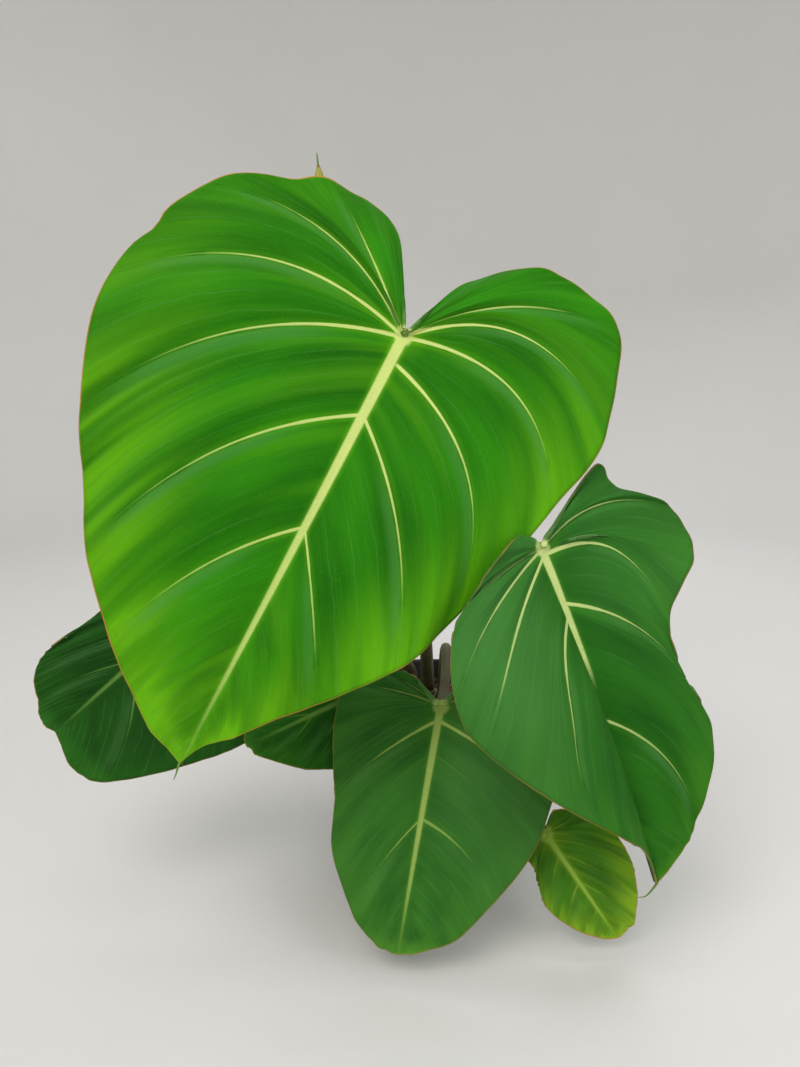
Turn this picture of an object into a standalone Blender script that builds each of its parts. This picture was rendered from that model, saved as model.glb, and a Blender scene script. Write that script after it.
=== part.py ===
"""Philodendron gloriosum in a black nursery pot: six open leaves, a rolled new leaf, a creeping
stem on the soil and the pot. Metres, Z up. The pot stands on Z = 0 and the plant faces -Y."""

import bpy
import bmesh
import numpy as np
from math import cos, pi, radians, sin, tau
from mathutils import Vector, noise

MM = 0.001
GAP = 0.3 * MM

# Pot: a moulded nursery pot with a collar, a rolled rim and drain holes.
POT_HEIGHT = 115 * MM
POT_RIM_RADIUS = 65 * MM
POT_BASE_RADIUS = 46 * MM
POT_WALL = 1.3 * MM
POT_SIDES = 40
DRAIN_HOLES = 6
DRAIN_HOLE_RADIUS = 5 * MM
DRAIN_RING_RADIUS = 30 * MM

# Soil: it fills the pot to a little under the collar.
SOIL_TOP = 101 * MM
SOIL_LUMP = 2.5 * MM

# Creeping stem: it lies half sunk in the soil and grows towards -X.
STEM_RADIUS = 9.5 * MM
STEM_PATH = [(40, -6, 98), (22, -3, 101), (2, 2, 102), (-18, 1, 102), (-38, 5, 103)]

# Leaf blade: one sheet with a thicker midrib and thicker main veins underneath.
BLADE_THICK = 0.9 * MM
HUB_THICK = 2.9 * MM
MIDRIB_TIP_THICK = 1.3 * MM
VEIN_RIDGE = 0.5 * MM
# The ribs of each half start at these shares of the midrib. The first six fan out from the hub.
RIB_STARTS = (0, 0, 0, 0, 0, 0, 0.06, 0.2, 0.47, 0.72, 0.9, 1)
LAST_RIB = len(RIB_STARTS) - 1

# Leaf stalk
STALK_HUB_RADIUS = 3.2 * MM
STALK_SIDES = 10
STALK_RINGS = 14

# One entry per leaf. hub: where stalk and blade meet (mm). down, turn, spin: the midrib's slope, its
# heading and the blade's roll about it (degrees). length: hub to tip (mm). arch, lobe_arch: how fast
# the midrib and the back lobes curl away (1/m). fold: each half's lift at the midrib near the hub
# and further down (degrees), cup: how each half curls back there (1/m). left, right: where
# each rib ends on the blade, across and along (mm), and how much it bows towards the tip.
LEAVES = {
    "largest": dict(
        hub=(-23, -100, 367), down=52.9, turn=-43.4, spin=54.8, length=257,
        arch=0.9, lobe_arch=2.5, fold=(6, 6, 6, 6), cup=(-1, -1, -1, -1),
        rows=3, rings=7, quilt=2.6, wave=3.0, seed=1,
        left=[(-3, -5, 0), (-35, -63, 0), (-72, -57, -0.05), (-128, -19, -0.3), (-147, 53, -0.33),
              (-126, 119, -0.23), (-109, 149, -0.2), (-90, 180, -0.2), (-60, 215, -0.15),
              (-30, 241, -0.15), (-10, 252, -0.1)],
        right=[(4, -10, 0), (20, -56, 0), (64, -89, -0.1), (116, -81, -0.21), (130, -11, -0.5),
               (121, 49, -0.45), (94, 130, -0.36), (77, 166, -0.15), (49, 200, -0.02),
               (21, 229, -0.1), (6, 245, -0.1)],
        base=(-4, 4), base_lean=(-1, 4), base_reach=130, hub_reach=60, approach=0, foot=5.0),
    "right": dict(
        hub=(54, -125, 252), down=64.7, turn=58, spin=-41.5, length=205,
        arch=1.0, lobe_arch=7.0, fold=(27, 72, -8, 8), cup=(-9, -19, -2, -2),
        rows=3, rings=7, quilt=2.0, wave=2.0, seed=2,
        left=[(-2, -7, 0), (-11, -11, 0), (-20, -10, 0), (-41, 0, -0.1), (-59, 13, -0.15),
              (-73, 22, -0.2), (-94, 56, -0.2), (-97, 78, -0.2), (-91, 91, -0.25), (-45, 145, -0.15),
              (-20, 172, -0.1)],
        right=[(3, -4, 0), (20, -14, 0), (60, -35, -0.05), (70, -18, -0.14), (104, 9, -0.3),
               (98, 40, -0.2), (57, 64, -0.1), (54, 98, -0.25), (60, 133, -0.2), (34, 178, -0.15),
               (22, 192, -0.1)],
        base=(20, -5), base_lean=(2, -6), base_reach=70, hub_reach=55, approach=0, foot=4.6),
    "front": dict(
        hub=(1, -90, 142), down=54.7, turn=-19.6, spin=13.2, length=144,
        arch=1.5, lobe_arch=4.0, fold=(8, 8, 8, 8), cup=(-3, -3, -3, -3),
        rows=2, rings=7, quilt=1.8, wave=2.2, seed=3,
        left=[(-7, -1, 0), (-21, -15, 0), (-42, -16, -0.05), (-61, -2, -0.1), (-64, 21, -0.15),
              (-59, 48, -0.15), (-54, 63, -0.08), (-49, 96, -0.1), (-31, 125, -0.08),
              (-14, 141, -0.1), (-7, 143, -0.1)],
        right=[(5, -3, 0), (13, -20, 0), (34, -28, -0.05), (57, -21, -0.1), (73, -1, -0.15),
               (78, 25, -0.15), (75, 46, -0.08), (68, 75, -0.1), (50, 104, -0.2), (32, 129, -0.1),
               (12, 140, -0.1)],
        base=(7, -5), base_lean=(0, -14), base_reach=75, hub_reach=48, approach=50, foot=4.2),
    "left": dict(
        hub=(-151, -60, 204), down=38.4, turn=-67.5, spin=72.3, length=125,
        arch=1.0, lobe_arch=3.0, fold=(8, 8, 8, 8), cup=(-2, -2, -2, -2),
        rows=2, rings=5, quilt=1.6, wave=1.8, seed=4,
        left=[(-6, -7, 0), (-19, -10, 0), (-33, 0, -0.05), (-40, 22, -0.1), (-38, 50, -0.15),
              (-40, 78, -0.2), (-41, 93, -0.15), (-37, 106, -0.1), (-23, 117, -0.1), (-14, 125, -0.1),
              (-6, 126, -0.1)],
        right=[(3, -9, 0), (13, -22, 0), (32, -27, -0.05), (58, -19, -0.1), (82, 0, -0.15),
               (89, 31, -0.2), (82, 59, -0.2), (69, 84, -0.2), (46, 122, -0.15), (29, 132, -0.1),
               (10, 128, -0.1)],
        base=(-24, 3), base_lean=(-1, -14), base_reach=80, hub_reach=55, approach=25, foot=4.2),
    "lower_left": dict(
        hub=(-45, -70, 146), down=16.6, turn=-65.9, spin=61.2, length=85,
        arch=1.0, lobe_arch=3.0, fold=(8, 8, 8, 8), cup=(-2, -2, -2, -2),
        rows=2, rings=5, quilt=1.2, wave=1.4, seed=5,
        left=[(-4, -6, 0), (-13, -9, 0), (-25, -3, 0), (-32, 14, -0.1), (-33, 34, -0.15),
              (-30, 54, -0.15), (-23, 66, -0.15), (-17, 76, -0.1), (-10, 82, -0.1),
              (-5, 84, -0.1), (-3, 85, -0.1)],
        right=[(4, -7, 0), (15, -12, 0), (30, -7, -0.05), (39, 2, -0.1), (43, 18, -0.15),
               (39, 35, -0.2), (34, 47, -0.15), (27, 60, -0.1), (14, 75, -0.1), (7, 82, -0.1),
               (3, 83, -0.1)],
        base=(-14, -5), base_lean=(-2, -12), base_reach=55, hub_reach=35, approach=30, foot=3.8),
    "small": dict(
        hub=(67, -105, 63), down=42.7, turn=49, spin=-47.6, length=72,
        arch=2.0, lobe_arch=5.0, fold=(8, 8, 8, 8), cup=(-3, -3, -3, -3),
        rows=2, rings=5, quilt=1.0, wave=1.4, seed=6,
        left=[(-3, -4, 0), (-8, -9, 0), (-15, -7, 0), (-20, 1, -0.05), (-18, 11, -0.1),
              (-21, 20, -0.15), (-24, 27, -0.15), (-25, 37, -0.1), (-21, 49, -0.1), (-13, 61, -0.1),
              (-7, 68, -0.1)],
        right=[(4, -4, 0), (13, -8, 0), (25, 0, -0.05), (33, 11, -0.1), (36, 23, -0.15),
               (35, 38, -0.15), (32, 46, -0.15), (25, 59, -0.1), (15, 69, -0.1), (9, 71, -0.1),
               (5, 72, -0.1)],
        base=(33, -7), base_lean=(6, -14), base_reach=74, hub_reach=70, approach=80, foot=3.6),
}

# Rolled new leaf at the growing end: centre line and radius, bottom to top (mm).
ROLLED_PATH = [(-40, 6, 116), (-47, 6, 200), (-60, -8, 320), (-70, -30, 400), (-74, -40, 470)]
ROLLED_RADII = [4.3, 3.6, 3.4, 7.0, 1.2]

for item in list(bpy.data.objects):
    bpy.data.objects.remove(item)


def paint(item, name, colour, roughness):
    """Gives the object a material of its own."""
    material = bpy.data.materials.new(name)
    material.use_nodes = True
    shader = material.node_tree.nodes["Principled BSDF"]
    shader.inputs["Base Color"].default_value = (*colour, 1)
    shader.inputs["Roughness"].default_value = roughness
    material.diffuse_color = (*colour, 1)
    item.data.materials.append(material)


def solid(name, points, faces, colour, roughness=0.6):
    """Links one closed mesh, with its faces turned outwards."""
    mesh = bpy.data.meshes.new(name)
    mesh.from_pydata([tuple(point) for point in points], [], faces)
    item = bpy.data.objects.new(name, mesh)
    bpy.context.scene.collection.objects.link(item)
    work = bmesh.new()
    work.from_mesh(mesh)
    bmesh.ops.recalc_face_normals(work, faces=work.faces)
    work.to_mesh(mesh)
    work.free()
    paint(item, name, colour, roughness)
    return item


def smooth_path(points, place):
    """The point of a smooth line through the given points. place runs from 0 to the last one."""
    points = [np.array(point, float) for point in points]
    step = min(int(place), len(points) - 2)
    share = place - step
    before = points[max(step - 1, 0)]
    start, end = points[step], points[step + 1]
    after = points[min(step + 2, len(points) - 1)]
    return 0.5 * (
        2 * start + (end - before) * share
        + (2 * before - 5 * start + 4 * end - after) * share**2
        + (3 * start - before - 3 * end + after) * share**3
    )


def tube(name, centres, radii, sides, colour, ledge=0.0, squash=1.0):
    """A closed tube along the centres. ledge adds a step that winds round it like a rolled leaf."""
    centres = [Vector(centre) for centre in centres]
    points = []
    across = None
    for number, centre in enumerate(centres):
        ahead = centres[min(number + 1, len(centres) - 1)] - centres[max(number - 1, 0)]
        ahead.normalize()
        if across is None:
            across = Vector((1, 0, 0))
        across = (across - ahead * across.dot(ahead)).normalized()
        side = ahead.cross(across)
        for turn in range(sides):
            angle = tau * turn / sides
            step = ledge * ((turn / sides + 0.7 * number / len(centres)) % 1)
            reach = radii[number] * (1 + step)
            points.append(centre + across * cos(angle) * reach + side * sin(angle) * reach * squash)
    faces = [list(range(sides))[::-1], list(range(len(points) - sides, len(points)))]
    for ring in range(len(centres) - 1):
        for turn in range(sides):
            low = ring * sides + turn
            beside = ring * sides + (turn + 1) % sides
            faces.append((low, beside, beside + sides, low + sides))
    return solid(name, points, faces, colour)


def frame_of(leaf):
    """The blade's own axes: across to its right, along the midrib to the tip, and out of its face."""
    down, turn, spin = radians(leaf["down"]), radians(leaf["turn"]), radians(leaf["spin"])
    along = np.array((cos(down) * sin(turn), -cos(down) * cos(turn), -sin(down)))
    face = np.array((sin(down) * sin(turn), -sin(down) * cos(turn), cos(down)))
    across = np.cross(face, along)
    return across * cos(spin) - face * sin(spin), along, face * cos(spin) + across * sin(spin)


def arc(bend, distance):
    """How far an evenly curved line gets forward and sideways over a distance."""
    if abs(bend) < 1e-6:
        return distance, 0.0
    return sin(bend * distance) / bend, (1 - cos(bend * distance)) / bend


def on_blade(leaf, u, v, lift=0.0):
    """World place of a blade point: u across, v along, lift out of the face, all in metres."""
    across, along, face = frame_of(leaf)
    ahead, back = arc(leaf["arch"] if v > 0 else leaf["lobe_arch"], abs(v))
    slope = leaf["arch"] * v if v > 0 else -leaf["lobe_arch"] * abs(v)
    outward = face * cos(slope) + along * sin(slope)
    right = u > 0
    share = min(max(v / (0.45 * leaf["length"] * MM), 0), 1)
    share = share * share * (3 - 2 * share)
    near, far = leaf["fold"][2:] if right else leaf["fold"][:2]
    fold = radians(near + (far - near) * share)
    near, far = leaf["cup"][2:] if right else leaf["cup"][:2]
    cup = near + (far - near) * share
    turned = fold + cup * abs(u)
    if abs(cup) < 1e-6:
        out, up = abs(u) * cos(fold), abs(u) * sin(fold)
    else:
        out, up = (sin(turned) - sin(fold)) / cup, (cos(fold) - cos(turned)) / cup
    place = np.array(leaf["hub"]) * MM + along * (ahead if v > 0 else -ahead) - face * back
    return place + across * (out if right else -out) + outward * (up + lift)


def rib_point(leaf, side, rib, share):
    """Flat blade coordinates of a point on a rib, share 0 at the midrib and 1 at the margin."""
    length = leaf["length"] * MM
    step = min(int(rib), LAST_RIB - 1)
    start = RIB_STARTS[step] + (RIB_STARTS[step + 1] - RIB_STARTS[step]) * (rib - step)
    ends = leaf[side] + [(0, leaf["length"], 0)]
    u, v, bow = smooth_path(ends, rib)
    start = np.array((0, start * length))
    end = np.array((u, v)) * MM
    line = end - start
    sideways = np.array((-line[1], line[0])) * (bow if side == "right" else -bow)
    middle = (start + end) / 2 + sideways
    return start * (1 - share) ** 2 + middle * 2 * share * (1 - share) + end * share**2


def relief(leaf, side, rib, share):
    """Height of the pillows between the veins and of the waves along the margin."""
    pillow = leaf["quilt"] * MM * sin(pi * (rib % 1)) ** 2 * sin(pi * share**0.8)
    phase = leaf["seed"] * 1.7 + (0.9 if side == "right" else 0)
    ripple = sin(rib * 2.6 + phase) + 0.5 * sin(rib * 5.1 + 2 * phase)
    ends = min(1, (LAST_RIB - rib) / 2)
    return pillow * ends + leaf["wave"] * MM * ripple * share**3 * ends


def build_blade(name, leaf, colour):
    """The blade as one thin solid. Both its faces hold the same triangles."""
    row_total = LAST_RIB * leaf["rows"]
    shares = [(ring / leaf["rings"]) ** 0.85 for ring in range(leaf["rings"] + 1)]
    shares[1] *= 0.6
    flat, lifts, thick, index = [], [], [], {}
    for side in ("left", "right"):
        for row in range(row_total + 1):
            rib = row / leaf["rows"]
            start = np.interp(rib, range(LAST_RIB + 1), RIB_STARTS)
            for ring, share in enumerate(shares):
                key = ("midrib", round(start, 5)) if ring == 0 or row == row_total else (side, row, ring)
                if key not in index:
                    index[key] = len(flat)
                    flat.append(rib_point(leaf, side, rib, 0 if ring == 0 else share))
                    lifts.append(0 if ring == 0 else relief(leaf, side, rib, share))
                    midrib = HUB_THICK + (MIDRIB_TIP_THICK - HUB_THICK) * min(3 * start, 1)
                    ridge = VEIN_RIDGE * (1 - share) if row % leaf["rows"] == 0 and rib > 0 else 0
                    thick.append(midrib if ring == 0 else BLADE_THICK + ridge)
                index[side, row, ring] = index[key]
    top = np.array([on_blade(leaf, *place, lift) for place, lift in zip(flat, lifts)])
    triangles = []
    for side in ("left", "right"):
        for row in range(row_total):
            for ring in range(len(shares) - 1):
                a, b = index[side, row, ring], index[side, row + 1, ring]
                c, d = index[side, row + 1, ring + 1], index[side, row, ring + 1]
                pair = [(a, b, c), (a, c, d)] if side == "right" else [(a, c, b), (a, d, c)]
                triangles += [corner for corner in pair if len(set(corner)) == 3]
    normals = np.zeros_like(top)
    for corner in triangles:
        turned = np.cross(top[corner[1]] - top[corner[0]], top[corner[2]] - top[corner[0]])
        for point in corner:
            normals[point] += turned
    normals /= np.linalg.norm(normals, axis=1)[:, None]
    if normals[0] @ frame_of(leaf)[2] < 0:
        normals = -normals
    below = top - normals * np.array(thick)[:, None]
    count = len(top)
    edges = {}
    for a, b, c in triangles:
        for edge in ((a, b), (b, c), (c, a)):
            edges[edge] = True
    faces = triangles + [(c + count, b + count, a + count) for a, b, c in triangles]
    for a, b in edges:
        if (b, a) not in edges:
            faces += [(b, a, a + count), (b, a + count, b + count)]
    return solid(name, np.concatenate([top, below]), faces, colour, 0.55)


def build_stalk(name, leaf, colour):
    """The leaf stalk, from its knob on the stem to just under the blade's hub."""
    across, along, face = frame_of(leaf)
    lean = radians(leaf["approach"])
    arrival = face * cos(lean) + along * sin(lean)
    clear = HUB_THICK + GAP + STALK_HUB_RADIUS * 0.5 * sin(lean)
    end = np.array(leaf["hub"]) * MM - face * clear
    start, direction = knob_of(leaf)
    start = start + direction * GAP
    bend = start + direction * leaf["base_reach"] * MM
    late = end - arrival * leaf["hub_reach"] * MM
    centres, radii = [], []
    for ring in range(STALK_RINGS + 1):
        share = ring / STALK_RINGS
        rest = 1 - share
        centres.append(start * rest**3 + bend * 3 * rest**2 * share
                       + late * 3 * rest * share**2 + end * share**3)
        foot = leaf["foot"] * MM
        radii.append(STALK_HUB_RADIUS + (foot - STALK_HUB_RADIUS) * rest**1.5)
    # The first and last lengths run straight, so the ends sit square to the knob and the hub.
    centres.insert(1, start + direction * 1.5 * MM)
    centres.insert(-1, end - arrival * 1.5 * MM)
    radii = [radii[0]] + radii + [radii[-1]]
    return tube(name, centres, radii, STALK_SIDES, colour)


def knob_of(leaf):
    """Top centre of the leaf's knob on the stem, and the way the stalk leaves it."""
    x, y = leaf["base"]
    lean = leaf["base_lean"]
    direction = np.array((sin(radians(lean[0])), sin(radians(lean[1])), 1.0))
    return np.array((x, y, 114)) * MM, direction / np.linalg.norm(direction)


def build_pot():
    """The pot, turned from its outline, with drain holes cut through the base."""
    wall = POT_WALL
    rim, base, height = POT_RIM_RADIUS, POT_BASE_RADIUS, POT_HEIGHT
    outline = [
        (base - 1.5 * MM, 0), (base, 1.5 * MM), (rim - 5 * MM, height - 17 * MM),
        (rim - 3.2 * MM, height - 15.5 * MM), (rim - 2.2 * MM, height - 4 * MM), (rim, height - 3 * MM),
        (rim, height - 0.8 * MM), (rim - 1 * MM, height), (rim - 2.6 * MM, height),
        (rim - 3.5 * MM, height - 1.5 * MM), (rim - 3.2 * MM - wall, height - 15 * MM),
        (rim - 5 * MM - wall, height - 17 * MM), (base - wall, 2.6 * MM), (base - 2.2 * MM - wall, 1.8 * MM),
    ]
    points, faces = [], []
    for radius, level in outline:
        for turn in range(POT_SIDES):
            angle = tau * turn / POT_SIDES
            points.append((radius * cos(angle), radius * sin(angle), level))
    for ring in range(len(outline) - 1):
        for turn in range(POT_SIDES):
            low = ring * POT_SIDES + turn
            beside = ring * POT_SIDES + (turn + 1) % POT_SIDES
            faces.append((low, beside, beside + POT_SIDES, low + POT_SIDES))
    faces.append(tuple(range(POT_SIDES)))
    faces.append(tuple(range((len(outline) - 1) * POT_SIDES, len(outline) * POT_SIDES)))
    pot = solid("pot", points, faces, (0.02, 0.02, 0.022), 0.5)
    for number in range(DRAIN_HOLES):
        angle = tau * (number + 0.5) / DRAIN_HOLES
        place = (DRAIN_RING_RADIUS * cos(angle), DRAIN_RING_RADIUS * sin(angle), 0)
        bpy.ops.mesh.primitive_cylinder_add(
            vertices=12, radius=DRAIN_HOLE_RADIUS, depth=10 * MM, location=place)
        cut(pot, bpy.context.object, f"drain_cutter_{number + 1}")
    return pot


def cut(item, cutter, name, operation="DIFFERENCE"):
    """Joins or cuts with a helper, which is then taken away."""
    cutter.name = name
    modifier = item.modifiers.new(name, "BOOLEAN")
    modifier.operation = operation
    modifier.solver = "EXACT"
    modifier.object = cutter
    bpy.context.view_layer.update()
    shape = bpy.data.meshes.new_from_object(item.evaluated_get(bpy.context.evaluated_depsgraph_get()))
    item.modifiers.clear()
    materials = list(item.data.materials)
    item.data = shape
    item.data.materials.clear()
    for material in materials:
        item.data.materials.append(material)
    bpy.data.objects.remove(cutter)


def stem_shape(name, extra):
    """The creeping stem with its knobs, each surface moved out by extra."""
    centres, radii = [], []
    for ring in range(17):
        place = ring / 4
        centres.append(smooth_path(STEM_PATH, place) * MM)
        swell = 1 + 0.07 * (ring % 2) - 0.25 * max(0, (ring - 13) / 3) ** 2 - 0.2 * (ring == 0)
        radii.append(STEM_RADIUS * swell + extra)
    centres[0] = centres[0] + np.array((extra, 0, 0))
    centres[-1] = centres[-1] - np.array((extra, 0, 0))
    stem = tube(name, centres, radii, 14, (0.16, 0.13, 0.05))
    knobs = [(knob_of(leaf), leaf["foot"] + 1.2) for leaf in LEAVES.values()]
    knobs.append((rolled_base(), 7.4))
    for number, ((top, direction), radius) in enumerate(knobs):
        low = top - direction * 12 * MM
        knob = tube("knob", [low, top + direction * extra],
                    [radius * MM * 1.15 + extra, radius * MM + extra], 12, (0.16, 0.13, 0.05))
        cut(stem, knob, f"knob_{number + 1}", "UNION")
    return stem


def rolled_base():
    """Top centre of the growing tip's knob and the way the rolled leaf leaves it."""
    start = np.array(ROLLED_PATH[0], float) * MM
    heading = smooth_path(ROLLED_PATH, 0.1) * MM - start
    return start, heading / np.linalg.norm(heading)


def build_soil():
    """The potting mix: a plug in the pot with a lumpy top, hollowed where the stem lies."""
    rings = (0.0, 0.2, 0.4, 0.6, 0.8, 0.94)
    base, rim = POT_BASE_RADIUS - POT_WALL, POT_RIM_RADIUS - 5 * MM - POT_WALL
    slope = (rim - base) / (POT_HEIGHT - 19.6 * MM)
    low, top_radius = 3.2 * MM, rim - 0.8 * MM
    sides = [(base - 3.0 * MM, low), (base + slope * 4 * MM - 0.6 * MM, low + 4 * MM),
             (rim - slope * 6 * MM - 0.6 * MM, POT_HEIGHT - 23 * MM)]
    points = [(0, 0, low)]
    for radius, level in sides:
        for turn in range(POT_SIDES):
            angle = tau * turn / POT_SIDES
            points.append((radius * cos(angle), radius * sin(angle), level))
    for share in (1.0,) + rings[:0:-1]:
        for turn in range(POT_SIDES):
            angle = tau * turn / POT_SIDES
            x, y = share * top_radius * cos(angle), share * top_radius * sin(angle)
            lump = noise.noise(Vector((x * 90, y * 90, 3))) * SOIL_LUMP
            points.append((x, y, SOIL_TOP - 4 * MM * share**4 + (0 if share == 1 else lump)))
    points.append((0, 0, SOIL_TOP))
    faces = []
    for turn in range(POT_SIDES):
        beside = (turn + 1) % POT_SIDES
        faces.append((0, 1 + beside, 1 + turn))
        for ring in range(len(sides) + len(rings) - 1):
            low_ring, high_ring = 1 + ring * POT_SIDES, 1 + (ring + 1) * POT_SIDES
            faces.append((low_ring + turn, low_ring + beside, high_ring + beside, high_ring + turn))
        last = 1 + (len(sides) + len(rings) - 1) * POT_SIDES
        faces.append((last + turn, last + beside, len(points) - 1))
    soil = solid("soil", points, faces, (0.05, 0.035, 0.022), 0.95)
    cut(soil, stem_shape("hollow", GAP), "hollow_cutter")
    return soil


def build_rolled_leaf():
    """The new leaf, still rolled, on its young stalk."""
    start, direction = rolled_base()
    centres, radii = [start + direction * GAP, start + direction * 2 * MM], [4.3 * MM, 4.3 * MM]
    for ring in range(1, 33):
        place = ring / 8
        centres.append(smooth_path(ROLLED_PATH, place) * MM)
        radii.append(np.interp(place, range(5), ROLLED_RADII) * MM)
    return tube("rolled_leaf", centres, radii, 12, (0.25, 0.3, 0.06), ledge=0.14)


def build_sheath():
    """The dry papery sheath that wrapped the new leaf, split down one side."""
    start, direction = rolled_base()
    direction = Vector(direction)
    origin = Vector(start) + direction * GAP
    across = Vector((-0.5, 1, 0))
    across = (across - direction * across.dot(direction)).normalized()
    side = direction.cross(across)
    turns, rings = 12, 8
    points = []
    for wall in (0, 0.8 * MM):
        for ring in range(rings + 1):
            share = ring / rings
            for turn in range(turns + 1):
                angle = (turn / turns - 0.5) * radians(230 - 150 * share**2)
                reach = (5.6 + 3.2 * share**1.6) * MM + wall
                level = share * 48 * MM * (1 - 0.10 * abs(turn / turns - 0.5) * share)
                points.append(origin + direction * level
                              + across * cos(angle) * reach + side * sin(angle) * reach)
    faces = []
    layer = (rings + 1) * (turns + 1)
    for ring in range(rings):
        for turn in range(turns):
            a = ring * (turns + 1) + turn
            b, c, d = a + 1, a + turns + 2, a + turns + 1
            faces += [(a, b, c, d), (d + layer, c + layer, b + layer, a + layer)]
    rim = [turn for turn in range(turns + 1)]
    rim += [ring * (turns + 1) + turns for ring in range(1, rings + 1)]
    rim += [rings * (turns + 1) + turn for turn in range(turns - 1, -1, -1)]
    rim += [ring * (turns + 1) for ring in range(rings - 1, 0, -1)]
    for number, point in enumerate(rim):
        following = rim[(number + 1) % len(rim)]
        faces.append((following, point, point + layer, following + layer))
    return solid("sheath", points, faces, (0.3, 0.2, 0.1), 0.8)


GREENS = {
    "largest": (0.09, 0.3, 0.03), "right": (0.08, 0.27, 0.035), "front": (0.05, 0.2, 0.03),
    "left": (0.03, 0.14, 0.02), "lower_left": (0.03, 0.13, 0.02), "small": (0.09, 0.24, 0.04),
}

build_pot()
build_soil()
stem = stem_shape("creeping_stem", 0)
for leaf_name, leaf_entry in LEAVES.items():
    build_blade(f"blade_{leaf_name}", leaf_entry, GREENS[leaf_name])
    build_stalk(f"stalk_{leaf_name}", leaf_entry, (0.16, 0.11, 0.07))
build_rolled_leaf()
build_sheath()
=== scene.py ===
"""A velvet-leaved philodendron in its black nursery pot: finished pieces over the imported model."""

import random

import bpy
import numpy as np
from math import cos, pi, radians, sin, tau
from mathutils import Euler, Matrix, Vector, noise


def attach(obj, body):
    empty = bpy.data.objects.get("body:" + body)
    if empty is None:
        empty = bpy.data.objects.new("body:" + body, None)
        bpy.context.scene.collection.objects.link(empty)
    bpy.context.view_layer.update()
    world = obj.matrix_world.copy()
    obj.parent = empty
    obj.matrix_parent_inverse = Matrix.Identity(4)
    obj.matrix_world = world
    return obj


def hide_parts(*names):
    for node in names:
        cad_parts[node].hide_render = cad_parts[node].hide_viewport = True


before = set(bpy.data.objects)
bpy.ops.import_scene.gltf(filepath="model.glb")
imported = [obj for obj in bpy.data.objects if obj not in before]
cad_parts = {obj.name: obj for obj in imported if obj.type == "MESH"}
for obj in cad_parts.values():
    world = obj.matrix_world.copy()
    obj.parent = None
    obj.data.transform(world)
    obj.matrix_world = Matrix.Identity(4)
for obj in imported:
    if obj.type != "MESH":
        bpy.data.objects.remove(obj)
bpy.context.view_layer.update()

# Leaf blades. Each is one thin, velvety sheet that hangs from its stalk by the hub, above a deep
# notch. Pale main veins fan out from the hub and the midrib, and the skin swells between them.
MM = 0.001
RIB_STARTS = (0, 0, 0, 0, 0, 0, 0.06, 0.2, 0.47, 0.72, 0.9, 1)
LAST_RIB = len(RIB_STARTS) - 1
BLADE_THICK = 0.9 * MM
HUB_THICK = 2.9 * MM
WEIGHT_STEPS = 20
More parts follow.
